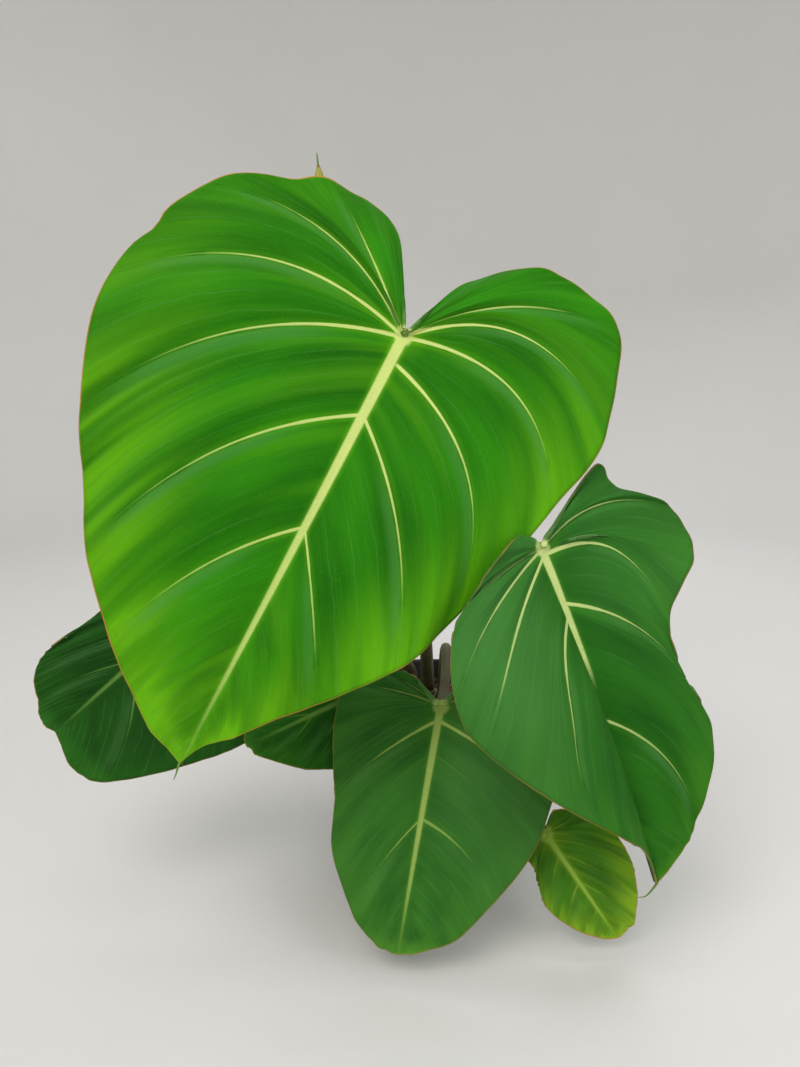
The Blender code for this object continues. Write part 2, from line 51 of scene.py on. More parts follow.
# hub: where the stalk meets the blade (mm). down, turn, spin: slope and heading of the midrib and the
# roll about it (degrees). length: hub to tip (mm). arch, lobe_arch: how fast midrib and back lobes
# curl away (1/m). fold, cup: each half's lift at the midrib (degrees) and its curl back (1/m), near
# the hub and further down. left, right: rib ends across and along (mm), and each rib's bow. quilt, wave:
# height of the swellings and of the margin's waves (mm). starts: where along the midrib the ribs leave
# it, where that isn't RIB_STARTS. base, base_lean, base_reach, hub_reach, approach, foot: the stalk's
# foot (mm), its lean (degrees), how far it runs straight at each end (mm), how much it slants into the
# hub (degrees) and its radius at the foot (mm).
LEAVES = {
    "largest": dict(
        hub=(-23, -100, 367), down=52.9, turn=-43.4, spin=54.8, length=257,
        arch=0.9, lobe_arch=2.5, fold=(6, 6, 6, 6), cup=(-1, -1, -1, -1),
        quilt=2.6, wave=3.0, seed=1,
        left=[(-3, -5, 0), (-35, -63, 0), (-72, -57, -0.05), (-128, -19, -0.3), (-147, 53, -0.33),
              (-126, 119, -0.23), (-109, 149, -0.2), (-90, 180, -0.2), (-60, 215, -0.15),
              (-30, 241, -0.15), (-10, 252, -0.1)],
        right=[(4, -10, 0), (20, -56, 0), (64, -89, -0.1), (116, -81, -0.21), (130, -11, -0.5),
               (121, 49, -0.45), (94, 130, -0.36), (77, 166, -0.15), (49, 200, -0.02),
               (21, 229, -0.1), (6, 245, -0.1)],
        base=(-4, 4), base_lean=(-1, 4), base_reach=130, hub_reach=60, approach=0, foot=5.0),
    "right": dict(
        hub=(54, -125, 252), down=64.7, turn=58, spin=-41.5, length=205,
        arch=1.0, lobe_arch=7.0, fold=(27, 72, -8, 8), cup=(-9, -19, -2, -2),
        quilt=2.0, wave=2.0, seed=2,
        starts=(0, 0, 0, 0, 0, 0, 0.02, 0.16, 0.2, 0.5, 0.8, 1),
        left=[(-2, -7, 0), (-14, -11, 0), (-39, -1, -0.1), (-59, 13, -0.15), (-73, 22, -0.15),
              (-94, 56, -0.12), (-96, 80, -0.05), (-76, 110, -0.2), (-54, 136, -0.35), (-33, 158, -0.15),
              (-19, 173, -0.1)],
        right=[(3, -4, 0), (20, -14, 0), (60, -35, -0.05), (70, -18, -0.14), (104, 9, -0.3),
               (98, 40, -0.2), (57, 64, -0.6), (54, 98, -0.25), (60, 133, -0.2), (34, 178, -0.25),
               (22, 192, -0.1)],
        base=(20, -5), base_lean=(2, -6), base_reach=70, hub_reach=55, approach=0, foot=4.6),
    "front": dict(
        hub=(1, -90, 142), down=54.7, turn=-19.6, spin=13.2, length=144,
        arch=1.5, lobe_arch=4.0, fold=(8, 8, 8, 8), cup=(-3, -3, -3, -3),
        quilt=1.8, wave=2.2, seed=3,
        left=[(-7, -1, 0), (-21, -15, 0), (-42, -16, -0.05), (-61, -2, -0.1), (-64, 21, -0.15),
              (-59, 48, -0.15), (-54, 63, -0.08), (-49, 96, -0.1), (-31, 125, -0.08),
              (-14, 141, -0.1), (-7, 143, -0.1)],
        right=[(5, -3, 0), (13, -20, 0), (34, -28, -0.05), (57, -21, -0.1), (73, -1, -0.15),
               (78, 25, -0.15), (75, 46, -0.08), (68, 75, -0.1), (50, 104, -0.2), (32, 129, -0.1),
               (12, 140, -0.1)],
        base=(7, -5), base_lean=(0, -14), base_reach=75, hub_reach=48, approach=50, foot=4.2),
    "left": dict(
        hub=(-151, -60, 204), down=38.4, turn=-67.5, spin=72.3, length=125,
        arch=1.0, lobe_arch=3.0, fold=(8, 8, 8, 8), cup=(-2, -2, -2, -2),
        quilt=1.6, wave=1.8, seed=4,
        left=[(-6, -7, 0), (-19, -10, 0), (-33, 0, -0.05), (-40, 22, -0.1), (-38, 50, -0.15),
              (-40, 78, -0.2), (-41, 93, -0.15), (-37, 106, -0.1), (-23, 117, -0.1), (-14, 125, -0.1),
              (-6, 126, -0.1)],
        right=[(3, -9, 0), (13, -22, 0), (32, -27, -0.05), (58, -19, -0.1), (82, 0, -0.15),
               (89, 31, -0.2), (82, 59, -0.2), (69, 84, -0.2), (46, 122, -0.15), (29, 132, -0.1),
               (10, 128, -0.1)],
        base=(-24, 3), base_lean=(-1, -14), base_reach=80, hub_reach=55, approach=25, foot=4.2),
    "lower_left": dict(
        hub=(-45, -70, 146), down=16.6, turn=-65.9, spin=61.2, length=85,
        arch=1.0, lobe_arch=3.0, fold=(8, 8, 8, 8), cup=(-2, -2, -2, -2),
        quilt=1.2, wave=1.4, seed=5,
        left=[(-4, -6, 0), (-13, -9, 0), (-25, -3, 0), (-32, 14, -0.1), (-33, 34, -0.15),
              (-30, 54, -0.15), (-23, 66, -0.15), (-17, 76, -0.1), (-10, 82, -0.1),
              (-5, 84, -0.1), (-3, 85, -0.1)],
        right=[(4, -7, 0), (15, -12, 0), (30, -7, -0.05), (39, 2, -0.1), (43, 18, -0.15),
               (39, 35, -0.2), (34, 47, -0.15), (27, 60, -0.1), (14, 75, -0.1), (7, 82, -0.1),
               (3, 83, -0.1)],
        base=(-14, -5), base_lean=(-2, -12), base_reach=55, hub_reach=35, approach=30, foot=3.8),
    "small": dict(
        hub=(67, -105, 63), down=42.7, turn=49, spin=-47.6, length=72,
        arch=2.0, lobe_arch=5.0, fold=(8, 8, 8, 8), cup=(-3, -3, -3, -3),
        quilt=1.0, wave=1.4, seed=6,
        left=[(-3, -4, 0), (-8, -9, 0), (-15, -7, 0), (-20, 1, -0.05), (-18, 11, -0.1),
              (-21, 20, -0.15), (-24, 27, -0.15), (-25, 37, -0.1), (-21, 49, -0.1), (-13, 61, -0.1),
              (-7, 68, -0.1)],
        right=[(4, -4, 0), (13, -8, 0), (25, 0, -0.05), (33, 11, -0.1), (36, 23, -0.15),
               (35, 38, -0.15), (32, 46, -0.15), (25, 59, -0.1), (15, 69, -0.1), (9, 71, -0.1),
               (5, 72, -0.1)],
        base=(33, -7), base_lean=(6, -14), base_reach=74, hub_reach=70, approach=80, foot=3.6),
}
# Where a margin curls up, and where it pulls in or, below 0, pushes out: half, rib, how many ribs wide,
# and how far (mm).
CURLS = {"right": (("left", 1.9, 0.9, 4.5), ("right", 1.9, 0.5, 5.0))}
SCALLOPS = {"largest": (("left", 1.05, 0.22, 4.0), ("left", 2.1, 0.2, -3.2), ("left", 2.42, 0.14, 2.8),
                        ("left", 2.75, 0.2, -3.0), ("left", 3.55, 0.1, 3.0), ("right", 5.0, 0.5, 2.5))}
# Which ribs show as pale main veins, 0 to 1, from the notch to the tip: left half, then right half.
DRAWN = {
    "largest": ((0, 0, 0.95, 1, 1, 1, 0, 1, 0.9, 0, 0, 0),
                (0, 0.25, 0, 0.85, 1, 1, 0.85, 0.9, 0.75, 0, 0, 0)),
    "right": ((0, 0, 0.2, 0.3, 0.4, 0.8, 0.95, 0, 0.95, 0, 0, 0),
              (0, 0.2, 0.7, 0, 1, 0, 1, 1, 0, 0.95, 0, 0)),
    "front": ((0, 0.2, 0.8, 0.9, 0, 0, 1, 0.2, 0.5, 0.15, 0, 0),
              (0, 0.3, 0.6, 0.8, 0, 0, 1, 0.2, 0.5, 0.15, 0, 0)),
    "left": ((0, 0.2, 0.5, 0.6, 0, 0.4, 0.2, 0.6, 0.6, 0, 0, 0),
             (0, 0.2, 0.5, 0.6, 0, 0.4, 0.2, 0.7, 0.7, 0, 0, 0)),
    "lower_left": ((0, 0.2, 0.4, 0.5, 0, 0.4, 0.2, 0.5, 0.5, 0, 0, 0),
                   (0, 0.2, 0.4, 0.5, 0, 0.4, 0.2, 0.5, 0.5, 0, 0, 0)),
    "small": ((0, 0.1, 0.2, 0.4, 0, 0.3, 0.2, 0.3, 0.4, 0, 0, 0),
              (0, 0.1, 0.2, 0.4, 0, 0.3, 0.2, 0.3, 0.4, 0, 0, 0)),
}


class Socket:
    """A shader value. Arithmetic on it adds Math nodes, and node() adds any other kind."""

    def __init__(self, tree, socket=None):
        self.tree = tree
        self.socket = socket

    def node(self, kind, settings=None, values=None, out=0):
        made = self.tree.nodes.new("ShaderNode" + kind)
        for key, setting in (settings or {}).items():
            if key == "stops":
                ramp = made.color_ramp
                while len(ramp.elements) < len(setting):
                    ramp.elements.new(1)
                for element, (place, colour) in zip(ramp.elements, setting):
                    element.position = place
                    element.color = (*colour, 1)
            else:
                setattr(made, key, setting)
        for key, value in (values or {}).items():
            if isinstance(value, Socket):
                self.tree.links.new(value.socket, made.inputs[key])
            elif isinstance(value, tuple) and made.inputs[key].type == "RGBA":
                made.inputs[key].default_value = (*value, 1)
            else:
                made.inputs[key].default_value = value
        return Socket(self.tree, made.outputs[out])

    def maths(self, operation, *values):
        return self.node("Math", {"operation": operation}, dict(enumerate(values)))

    def __add__(self, other):
        return self.maths("ADD", self, other)

    def __radd__(self, other):
        return self.maths("ADD", other, self)

    def __sub__(self, other):
        return self.maths("SUBTRACT", self, other)

    def __rsub__(self, other):
        return self.maths("SUBTRACT", other, self)

    def __mul__(self, other):
        return self.maths("MULTIPLY", self, other)

    def __rmul__(self, other):
        return self.maths("MULTIPLY", other, self)

    def __truediv__(self, other):
        return self.maths("DIVIDE", self, other)

    def __rtruediv__(self, other):
        return self.maths("DIVIDE", other, self)

    def __pow__(self, other):
        return self.maths("POWER", self, other)

    def step(self, low, high):
        """0 below low, 1 above high, smooth between. low may be above high."""
        values = {"Value": self, "From Min": low, "From Max": high}
        return self.node("MapRange", {"interpolation_type": "SMOOTHSTEP"}, values)

    def mix(self, first, second):
        """first where this is 0, second where it is 1: two colours."""
        return self.node("Mix", {"data_type": "RGBA"}, {0: self, 6: first, 7: second}, out=2)

    def noise(self, place, scale, detail=3.0, rough=0.5):
        values = {"Vector": place, "Scale": scale, "Detail": detail, "Roughness": rough}
        return self.node("TexNoise", None, values)


def new_material(name):
    """An empty material and a Socket that adds nodes to it."""
    material = bpy.data.materials.new(name)
    material.use_nodes = True
    material.node_tree.nodes.clear()
    return material, Socket(material.node_tree)


def wire(start, colour, roughness, height, depth, **constants):
    """Ends a material in one Principled shader, with the height as bump depth metres deep."""
    normal = start.node("Bump", None, {"Height": height, "Strength": 1.0, "Distance": depth})
    values = {"Base Color": colour, "Roughness": roughness, "Normal": normal}
    shader = start.node("BsdfPrincipled", None, {**values, **constants})
    end = start.tree.nodes.new("ShaderNodeOutputMaterial")
    start.tree.links.new(shader.socket, end.inputs["Surface"])


def sheen(weight, tint, roughness):
    return {"Sheen Weight": weight, "Sheen Tint": tint, "Sheen Roughness": roughness}


def blend(first, second, share):
    """A plain colour between two others."""
    return tuple((1 - share) * one + share * other for one, other in zip(first, second))


def blade_material(name, deep, fresh, lime, vein, warmth, sheen_per_half, reach, mid_end, under=False, seed=0.0):
    """Leaf skin: greens in long streaks along the veins, pale veins that fade out, a tan margin line.

    It reads the "rib" UV map, which counts ribs and goes from margin to margin, and the attributes that
    make_blade keeps on the mesh.
    """
    material, start = new_material(name)
    grid = start.node("UVMap", {"uv_map": "rib"})
    rib = start.node("SeparateXYZ", None, {0: grid}) * float(LAST_RIB)
    side = start.node("SeparateXYZ", None, {0: grid}, out=1) * 2.0 - 1.0
    share = side.maths("ABSOLUTE", side)
    half = side.maths("SIGN", side) * 3.1 + seed
    flat = start.node("Attribute", {"attribute_name": "flat"}, out=1)
    across = start.node("SeparateXYZ", None, {0: flat})
    along = start.node("SeparateXYZ", None, {0: flat}, out=1)
    gap = start.node("SeparateXYZ", None, {0: flat}, out=2)
    drawn = start.node("Attribute", {"attribute_name": "drawn"}, out=2)
    rim = start.node("Attribute", {"attribute_name": "rim"}, out=2)
    tip = start.node("Attribute", {"attribute_name": "length"}, out=2)
    body = start.node("TexCoord", None, None, out=3)

    # Streaks: noise that is long along the ribs and short across them.
    def streaks(per_rib, per_share, detail, rough=0.5):
        lane = start.node("CombineXYZ", None, {0: rib * per_rib, 1: share * per_share, 2: half + per_rib})
        return start.noise(lane, 1.0, detail, rough)

    broad, bands = streaks(1.7, 1.3, 1.5), streaks(2.6, 0.9, 1.0)
    fine, hair = streaks(9.0, 2.0, 3.0, 0.6), streaks(42.0, 4.0, 2.0, 0.6)
    cells = start.noise(body, 1100.0, 2.0, 0.6)
    patches = start.noise(body, 14.0, 2.0, 0.5)

    # Millimetres to the nearest rib, with its sign, and to the midrib.
    signed = ((rib + 0.5).maths("FRACT", rib + 0.5) - 0.5) * gap
    off = signed.maths("ABSOLUTE", signed)
    inner = (1.0 - share).maths("MAXIMUM", 1.0 - share, 0.0)
    wander = (streaks(3.0, 9.0, 2.0) - 0.5) * 0.9
    width = inner ** 1.6 * (drawn * 0.55 + 0.45) + 0.12
    far = drawn * (0.35 * reach) + 0.65 * reach
    fade = (share + wander * 0.14).step(far, far - 0.36)
    line = off + wander * inner
    line = (line.maths("ABSOLUTE", line) - width).step(0.4, -0.3) * fade * drawn.step(0.1, 0.75)
    glow = off.step(5.5, 0.6) * drawn * fade * (inner * 0.7 + 0.15)
    # Painted shade: a band beside each drawn vein, where the blade dips into a valley, darkens the green.
    shaded_crease = off.step(2.6, 1.2) * off.step(0.5, 1.2) * drawn * (wander * 0.8 + 0.5).step(0.45, 0.75)
    thin = rib * 4.0 + wander * 0.35 + 0.5
    thin = (thin.maths("FRACT", thin) - 0.5) * gap * 0.25
    thin = thin.maths("ABSOLUTE", thin).step(0.75, 0.1) * share.step(0.04, 0.2) * fine.step(0.35, 0.6)
    # Painted sheen: a pale sage band along one side of each drawn vein, where the swelling catches the
    # light.
    vein_sheen = signed.step(0.6, 2.4) * signed.step(11.0, 4.5) * drawn
    vein_sheen = vein_sheen * share.step(0.1, 0.35) * inner.step(0.02, 0.3)

    taper = (1.0 - along / tip).maths("MAXIMUM", 1.0 - along / tip, 0.0)
    mid_width = (taper ** 0.9 * 2.65 + 0.35) * (tip / 257.0) ** 0.5
    mid_off = across.maths("ABSOLUTE", across) + (cells - 0.5) * 0.5
    below_hub = along.step(-2.0, 1.0)
    shown = (along / tip).step(mid_end + 0.05, mid_end - 0.06)
    midrib = (mid_off - mid_width).step(0.85, -0.5) * below_hub * (taper.step(0.0, 0.3) * 0.8 + 0.2) * shown
    mid_glow = (mid_off - mid_width).step(3.2, 0.0) * below_hub * (taper * 0.6 + 0.35) * shown
    spot = start.node("CombineXYZ", None, {0: across, 1: along})
    from_hub = start.node("VectorMath", {"operation": "LENGTH"}, {0: spot}, out=1)
    hub_glow = from_hub.step(17.0, 4.0)
    hub = (from_hub + (cells - 0.5) * 2.0).step(6.5, 3.5)

    # Greens: deep streaks, brighter bands between veins, yellow-green towards margin and tip. Over them go
    # a painted sage sheen beside the veins and over whole halves, and painted shade in the creases and the
    # fold.
    tone = broad * 0.66 + fine * 0.2 + (hair - 0.5) * 0.2 + (patches - 0.5) * 0.25 + 0.07
    green = tone.step(0.26, 0.74).mix(deep, fresh)
    lobes = rib.step(3.0, 5.4) * 0.88 + 0.12
    edge = share.step(0.42, 1.0) * (bands.step(0.3, 0.62) * 0.75 + 0.2) * lobes
    edge = edge + taper.step(0.45, 0.0) * 0.35
    warm = edge * (fine.step(0.3, 0.65) * 0.2 + 0.75) + bands.step(0.5, 0.72) * inner * 0.3
    warm = warm * warmth + taper.step(0.09, 0.0) * 0.5 + glow * 0.4 + mid_glow * 0.45 + hub_glow * 0.3
    green = warm.maths("MINIMUM", warm, 0.95).mix(green, lime)
    # Sage: the colour of the painted sheen, and of the fine veins.
    sage = blend(fresh, (0.11, 0.27, 0.09), 0.5)
    # Painted sheen: a pale sage satin sheen over the left and right halves, as much as each leaf's finish
    # gives.
    half_sheen = side.step(0.1, -0.25) * sheen_per_half[0] + side.step(-0.1, 0.25) * sheen_per_half[1]
    half_sheen = half_sheen * rib.step(9.5, 6.0) * (patches.step(0.3, 0.7) * 0.4 + 0.6)
    green = (vein_sheen * 0.5).maths("MAXIMUM", vein_sheen * 0.5, half_sheen).mix(green, sage)
    # Painted shade: a dark line down the midrib from where it stops being drawn, where the folded half
    # hangs over it.
    fold_shade = mid_off.step(0.9, 0.2) * (along / tip).step(mid_end - 0.02, mid_end + 0.08)
    green = (thin * 0.3).mix(green, sage)
    shaded_crease = (shaded_crease * 0.5).maths("MAXIMUM", shaded_crease * 0.5, fold_shade * 0.8)
    # Painted shade: the creases by the veins and the fold line down the midrib turn the green near black.
    green = shaded_crease.mix(green, blend(deep, (0, 0, 0), 0.6))
    green = (cells.step(0.6, 0.75) * 0.24).mix(green, lime)
    pale = line.maths("MAXIMUM", line, midrib.maths("MAXIMUM", midrib, hub))
    pale = pale * (0.86 + (hair - 0.5) * 0.35 + (cells - 0.5) * 0.3)
    greener = blend(vein, lime, 0.45)
    colour = pale.mix(green, (taper * 0.6 + inner * 0.6 - 0.3).step(0.2, 0.85).mix(greener, vein))
    tan = rim.step(0.95, 0.3) * (patches.step(0.3, 0.6) * 0.7 + 0.3) * min(1.0, warmth + 0.1)
    colour = tan.mix(colour, (0.5, 0.23, 0.05))
    height = hair * 0.22 + fine * 0.25 + cells * 0.2 + pale * 0.3 - shaded_crease * 0.3 - thin * 0.25
    rough = 0.66 - pale * 0.1 + (cells - 0.5) * 0.16
    if under:
        wire(start, colour, rough, height, 0.0004, **{"Specular IOR Level": 0.2})
    else:
        wire(start, colour, rough, height, 0.0003, **{"Specular IOR Level": 0.06},
             **sheen(0.03, (0.5, 0.85, 0.2), 0.35))
    return material


def rim_material(name, moist, dry):
    """The thin margin of a blade, from moist olive to a dry tan, and pale green round the hub."""
    material, start = new_material(name)
    body = start.node("TexCoord", None, None, out=3)
    blotch = start.noise(body, 60.0, 3.0)
    grain = start.noise(body, 700.0, 2.0)
    flat = start.node("Attribute", {"attribute_name": "flat"}, out=1)
    across = start.node("SeparateXYZ", None, {0: flat})
    along = start.node("SeparateXYZ", None, {0: flat}, out=1)
    spot = start.node("CombineXYZ", None, {0: across, 1: along})
    from_hub = start.node("VectorMath", {"operation": "LENGTH"}, {0: spot}, out=1)
    colour = from_hub.step(22.0, 10.0).mix(blotch.step(0.35, 0.65).mix(moist, dry), (0.12, 0.24, 0.03))
    wire(start, colour, 0.55 + grain * 0.2, grain, 0.0001)
    return material


def smooth_row(values, place):
    """Rows of values read at places from 0 to the last one, along a smooth line."""
    values = np.asarray(values, float)
    step = np.minimum(place.astype(int), len(values) - 2)
    share = (place - step)[:, None]
    before, start = values[np.maximum(step - 1, 0)], values[step]
    end, after = values[step + 1], values[np.minimum(step + 2, len(values) - 1)]
    return 0.5 * (
        2 * start + (end - before) * share
        + (2 * before - 5 * start + 4 * end - after) * share**2
        + (3 * start - before - 3 * end + after) * share**3
    )


def frame_of(leaf):
    """The blade's own axes: across to its right, along the midrib to the tip, and out of its face."""
    down, turn, spin = radians(leaf["down"]), radians(leaf["turn"]), radians(leaf["spin"])
    along = np.array((cos(down) * sin(turn), -cos(down) * cos(turn), -sin(down)))
    face = np.array((sin(down) * sin(turn), -sin(down) * cos(turn), cos(down)))
    across = np.cross(face, along)
    return across * cos(spin) - face * sin(spin), along, face * cos(spin) + across * sin(spin)


def on_blade(leaf, u, v, lift):
    """World places of blade points: u across, v along, lift out of the face, all in metres."""
    across, along, face = frame_of(leaf)
    below = v > 0
    bend = np.where(below, leaf["arch"], leaf["lobe_arch"])
    reach = np.abs(v)
    ahead, back = np.sin(bend * reach) / bend, (1 - np.cos(bend * reach)) / bend
    slope = bend * v
    outward = np.cos(slope)[:, None] * face + np.sin(slope)[:, None] * along
    share = np.clip(v / (0.45 * leaf["length"] * MM), 0, 1)
    share = share * share * (3 - 2 * share)
    right = u > 0
    pick = leaf["fold"], leaf["cup"]
    fold, cup = (np.where(right, pair[2] + (pair[3] - pair[2]) * share,
                          pair[0] + (pair[1] - pair[0]) * share) for pair in pick)
    fold = np.radians(fold)
    turned = fold + cup * np.abs(u)
    out, up = (np.sin(turned) - np.sin(fold)) / cup, (np.cos(fold) - np.cos(turned)) / cup
    place = np.array(leaf["hub"]) * MM + np.where(below, ahead, -ahead)[:, None] * along
    place = place - back[:, None] * face + np.where(right, out, -out)[:, None] * across
    return place + (up + lift)[:, None] * outward


def rib_point(leaf, side, rib, share):
    """Flat blade coordinates in metres, share 0 at the midrib and 1 at the margin."""
    ends = smooth_row(leaf[side] + [(0, leaf["length"], 0)], rib)
    start = np.zeros((len(rib), 2))
    starts = leaf.get("starts", RIB_STARTS)
    start[:, 1] = np.interp(rib, range(LAST_RIB + 1), starts) * leaf["length"] * MM
    end = ends[:, :2] * MM
    line = end - start
    sideways = np.stack([-line[:, 1], line[:, 0]], 1) * ends[:, 2:] * (1 if side == "right" else -1)
    middle = (start + end) / 2 + sideways
    share = share[:, None]
    return start * (1 - share) ** 2 + middle * 2 * share * (1 - share) + end * share**2


def relief(leaf, name, side, rib, share, gap):
    """Height over the blade: swellings between the veins, sunk veins, fine pleats, a wavy margin."""
    ends = np.minimum(1, (LAST_RIB - rib) / 2)
    shown = np.array(DRAWN[name][side == "right"])
    nearest = shown[np.round(rib).astype(int)]
    between = rib % 1
    crest = np.sin(pi * between) ** 2
    swell = crest + (1 - crest) * (1 - nearest) * 0.8
    pillow = 1.3 * leaf["quilt"] * MM * swell * np.sin(pi * share**0.8) * ends
    phase = leaf["seed"] * 1.7 + (0.9 if side == "right" else 0)
    ripple = np.sin(rib * 2.6 + phase) + 0.5 * np.sin(rib * 5.1 + 2 * phase)
    wave = leaf["wave"] * MM * ripple * share**3 * ends
    off = np.abs((rib + 0.5) % 1 - 0.5) * gap
    fade = np.clip(share * 6, 0, 1) * (1 - 0.6 * share)
    groove = (-0.6 * np.exp(-((off / 2.6) ** 2)) + 0.4 * np.exp(-((off / 0.9) ** 2))) * nearest * fade * MM
    pleat = 0.14 * MM * np.cos(tau * 5 * between + 3 * share) * np.sin(pi * share) ** 2 * ends
    frill = 0.4 * MM * np.sin(rib * 13.7 + phase * 3) * share**8 * ends
    for half, place, wide, lift in CURLS.get(name, ()):
        frill = frill + lift * MM * np.exp(-(((rib - place) / wide) ** 2)) * share**5 * (half == side)
    return pillow + wave + groove + pleat + frill


def grid_sheet(name, columns, rows, place):
    """A grid whose points are all moved by place(x, y), x and y from -1 to 1, then welded."""
    bpy.ops.object.select_all(action="DESELECT")
    bpy.ops.mesh.primitive_grid_add(x_subdivisions=columns, y_subdivisions=rows, size=2)
    piece = bpy.context.object
    piece.name = piece.data.name = name
    points = np.empty(len(piece.data.vertices) * 3)
    piece.data.vertices.foreach_get("co", points)
    points = points.reshape(-1, 3)
    piece.data.vertices.foreach_set("co", np.asarray(place(piece, points[:, 0], points[:, 1])).ravel())
    bpy.ops.object.mode_set(mode="EDIT")
    bpy.ops.mesh.select_all(action="SELECT")
    bpy.ops.mesh.remove_doubles(threshold=0.00001)
    bpy.ops.mesh.normals_make_consistent(inside=False)
    bpy.ops.object.mode_set(mode="OBJECT")
    bpy.ops.object.shade_smooth()
    return piece


def keep_attribute(piece, name, kind, values):
    layer = piece.data.attributes.new(name, kind, "POINT")
    field = "vector" if kind == "FLOAT_VECTOR" else "value"
    layer.data.foreach_set(field, np.ascontiguousarray(values, np.float32).ravel())


def tube_grid(name, sides, rings, centre_at, radius_at):
    """A closed tube: centre_at(share) gives its middle line, radius_at(share, angle) its radius."""
    def place(piece, x, y):
        share, angle = (y + 1) / 2, (x + 1) * pi
        steps = np.unique(share)
        line = np.array([centre_at(step) for step in steps])
        ahead = np.gradient(line, axis=0)
        ahead /= np.linalg.norm(ahead, axis=1)[:, None]
        turned = []
        across = np.array((1.0, 0, 0))
        for heading in ahead:
            across = across - heading * (across @ heading)
            across /= np.linalg.norm(across)
            turned.append(across)
        index = np.searchsorted(steps, share)
        across = np.array(turned)[index]
        beside = np.cross(ahead[index], across)
        angle = np.where(angle > tau - 1e-6, 0, angle)
        reach = radius_at(share, angle)[:, None]
        piece.data.uv_layers[0].name = "wrap"
        return line[index] + (across * np.cos(angle)[:, None] + beside * np.sin(angle)[:, None]) * reach

    piece = grid_sheet(name, sides, rings, place)
    bpy.ops.object.mode_set(mode="EDIT")
    bpy.ops.mesh.select_all(action="SELECT")
    bpy.ops.mesh.fill_holes(sides=0)
    bpy.ops.mesh.normals_make_consistent(inside=False)
    bpy.ops.object.mode_set(mode="OBJECT")
    return piece


def make_blade(name, rows, rings, materials):
    """One blade: the shaped sheet, then its thickness, thicker at hub and midrib.

    rows is the mesh's rows from one rib to the next, and rings its rings from midrib to margin.
    """
    leaf = LEAVES[name]
    length = leaf["length"] * MM

    def place(piece, x, y):
        across_ribs = (x + 1) / 2 * LAST_RIB
        rib = across_ribs - 0.12 * np.sin(tau * across_ribs)
        share = np.abs(y) ** 0.9
        flat, lift, gap, rim, drawn = (np.zeros((len(x), 2)), *np.zeros((4, len(x))))
        for side, mine in (("left", y <= 0), ("right", y > 0)):
            near = np.clip(rib[mine] - 0.05, 0, LAST_RIB), np.clip(rib[mine] + 0.05, 0, LAST_RIB)
            flat[mine] = rib_point(leaf, side, rib[mine], share[mine])
            ends = [rib_point(leaf, side, place_at, share[mine]) for place_at in near]
            gap[mine] = np.linalg.norm(ends[1] - ends[0], axis=1) / (near[1] - near[0]) / MM
            margin = rib_point(leaf, side, rib[mine], np.ones(mine.sum()))
            rim[mine] = np.linalg.norm(margin - flat[mine], axis=1) / MM
            lift[mine] = relief(leaf, name, side, rib[mine], share[mine], gap[mine])
            for half, notch, wide, pull in SCALLOPS.get(name, ()):
                pulled = pull * MM * np.exp(-(((rib[mine] - notch) / wide) ** 2)) * share[mine] ** 6
                reach = np.linalg.norm(margin, axis=1)
                flat[mine] *= 1 - (pulled / np.maximum(reach, MM) * (half == side))[:, None]
            drawn[mine] = np.array(DRAWN[name][side == "right"])[np.round(rib[mine]).astype(int)]
        piece.data.uv_layers[0].name = "rib"
        corner_vertex = np.empty(len(piece.data.loops), int)
        piece.data.loops.foreach_get("vertex_index", corner_vertex)
        grid = np.stack([rib / LAST_RIB, (y + 1) / 2], 1)[corner_vertex]
        piece.data.uv_layers[0].data.foreach_set("uv", grid.ravel())
        keep_attribute(piece, "flat", "FLOAT_VECTOR", np.column_stack([flat / MM, gap]))
        keep_attribute(piece, "drawn", "FLOAT", drawn)
        keep_attribute(piece, "rim", "FLOAT", rim)
        keep_attribute(piece, "length", "FLOAT", np.full(len(x), leaf["length"]))
        thick = np.exp(-((flat[:, 0] / (3.2 * MM)) ** 2)) * np.where(flat[:, 1] > -0.003, 1, 0)
        thick = thick * np.clip(1 - 0.8 * flat[:, 1] / length, 0.15, 1)
        thick[share == 0] = np.maximum(thick[share == 0], 0.9)
        vein = 0.16 * drawn * np.exp(-((((rib + 0.5) % 1 - 0.5) * gap / 1.6) ** 2)) * (1 - share)
        keep_attribute(piece, "thick", "FLOAT", np.maximum(thick, vein))
        return on_blade(leaf, flat[:, 0], flat[:, 1], lift)

    piece = grid_sheet("leaf_" + name, rows * LAST_RIB, rings * 2, place)
    face = Vector(frame_of(leaf)[2])
    if sum(face.dot(polygon.normal) * polygon.area for polygon in piece.data.polygons) < 0:
        bpy.ops.object.mode_set(mode="EDIT")
        bpy.ops.mesh.flip_normals()
        bpy.ops.object.mode_set(mode="OBJECT")
    weights = np.empty(len(piece.data.vertices))
    piece.data.attributes["thick"].data.foreach_get("value", weights)
    group = piece.vertex_groups.new(name="thick")
    for step in range(WEIGHT_STEPS + 1):
        chosen = np.flatnonzero(np.round(weights * WEIGHT_STEPS) == step)
        group.add(chosen.tolist(), step / WEIGHT_STEPS, "REPLACE")
    for material in materials:
        piece.data.materials.append(material)
    wall = piece.modifiers.new("wall", "SOLIDIFY")
    wall.thickness = HUB_THICK
    wall.offset = -1
    wall.vertex_group = "thick"
    wall.thickness_vertex_group = BLADE_THICK / HUB_THICK
    wall.material_offset = 1
    wall.material_offset_rim = 2
    bpy.ops.object.modifier_apply(modifier="wall")
    piece.vertex_groups.clear()
    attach(piece, "root")
    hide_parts("blade_" + name)
    return piece
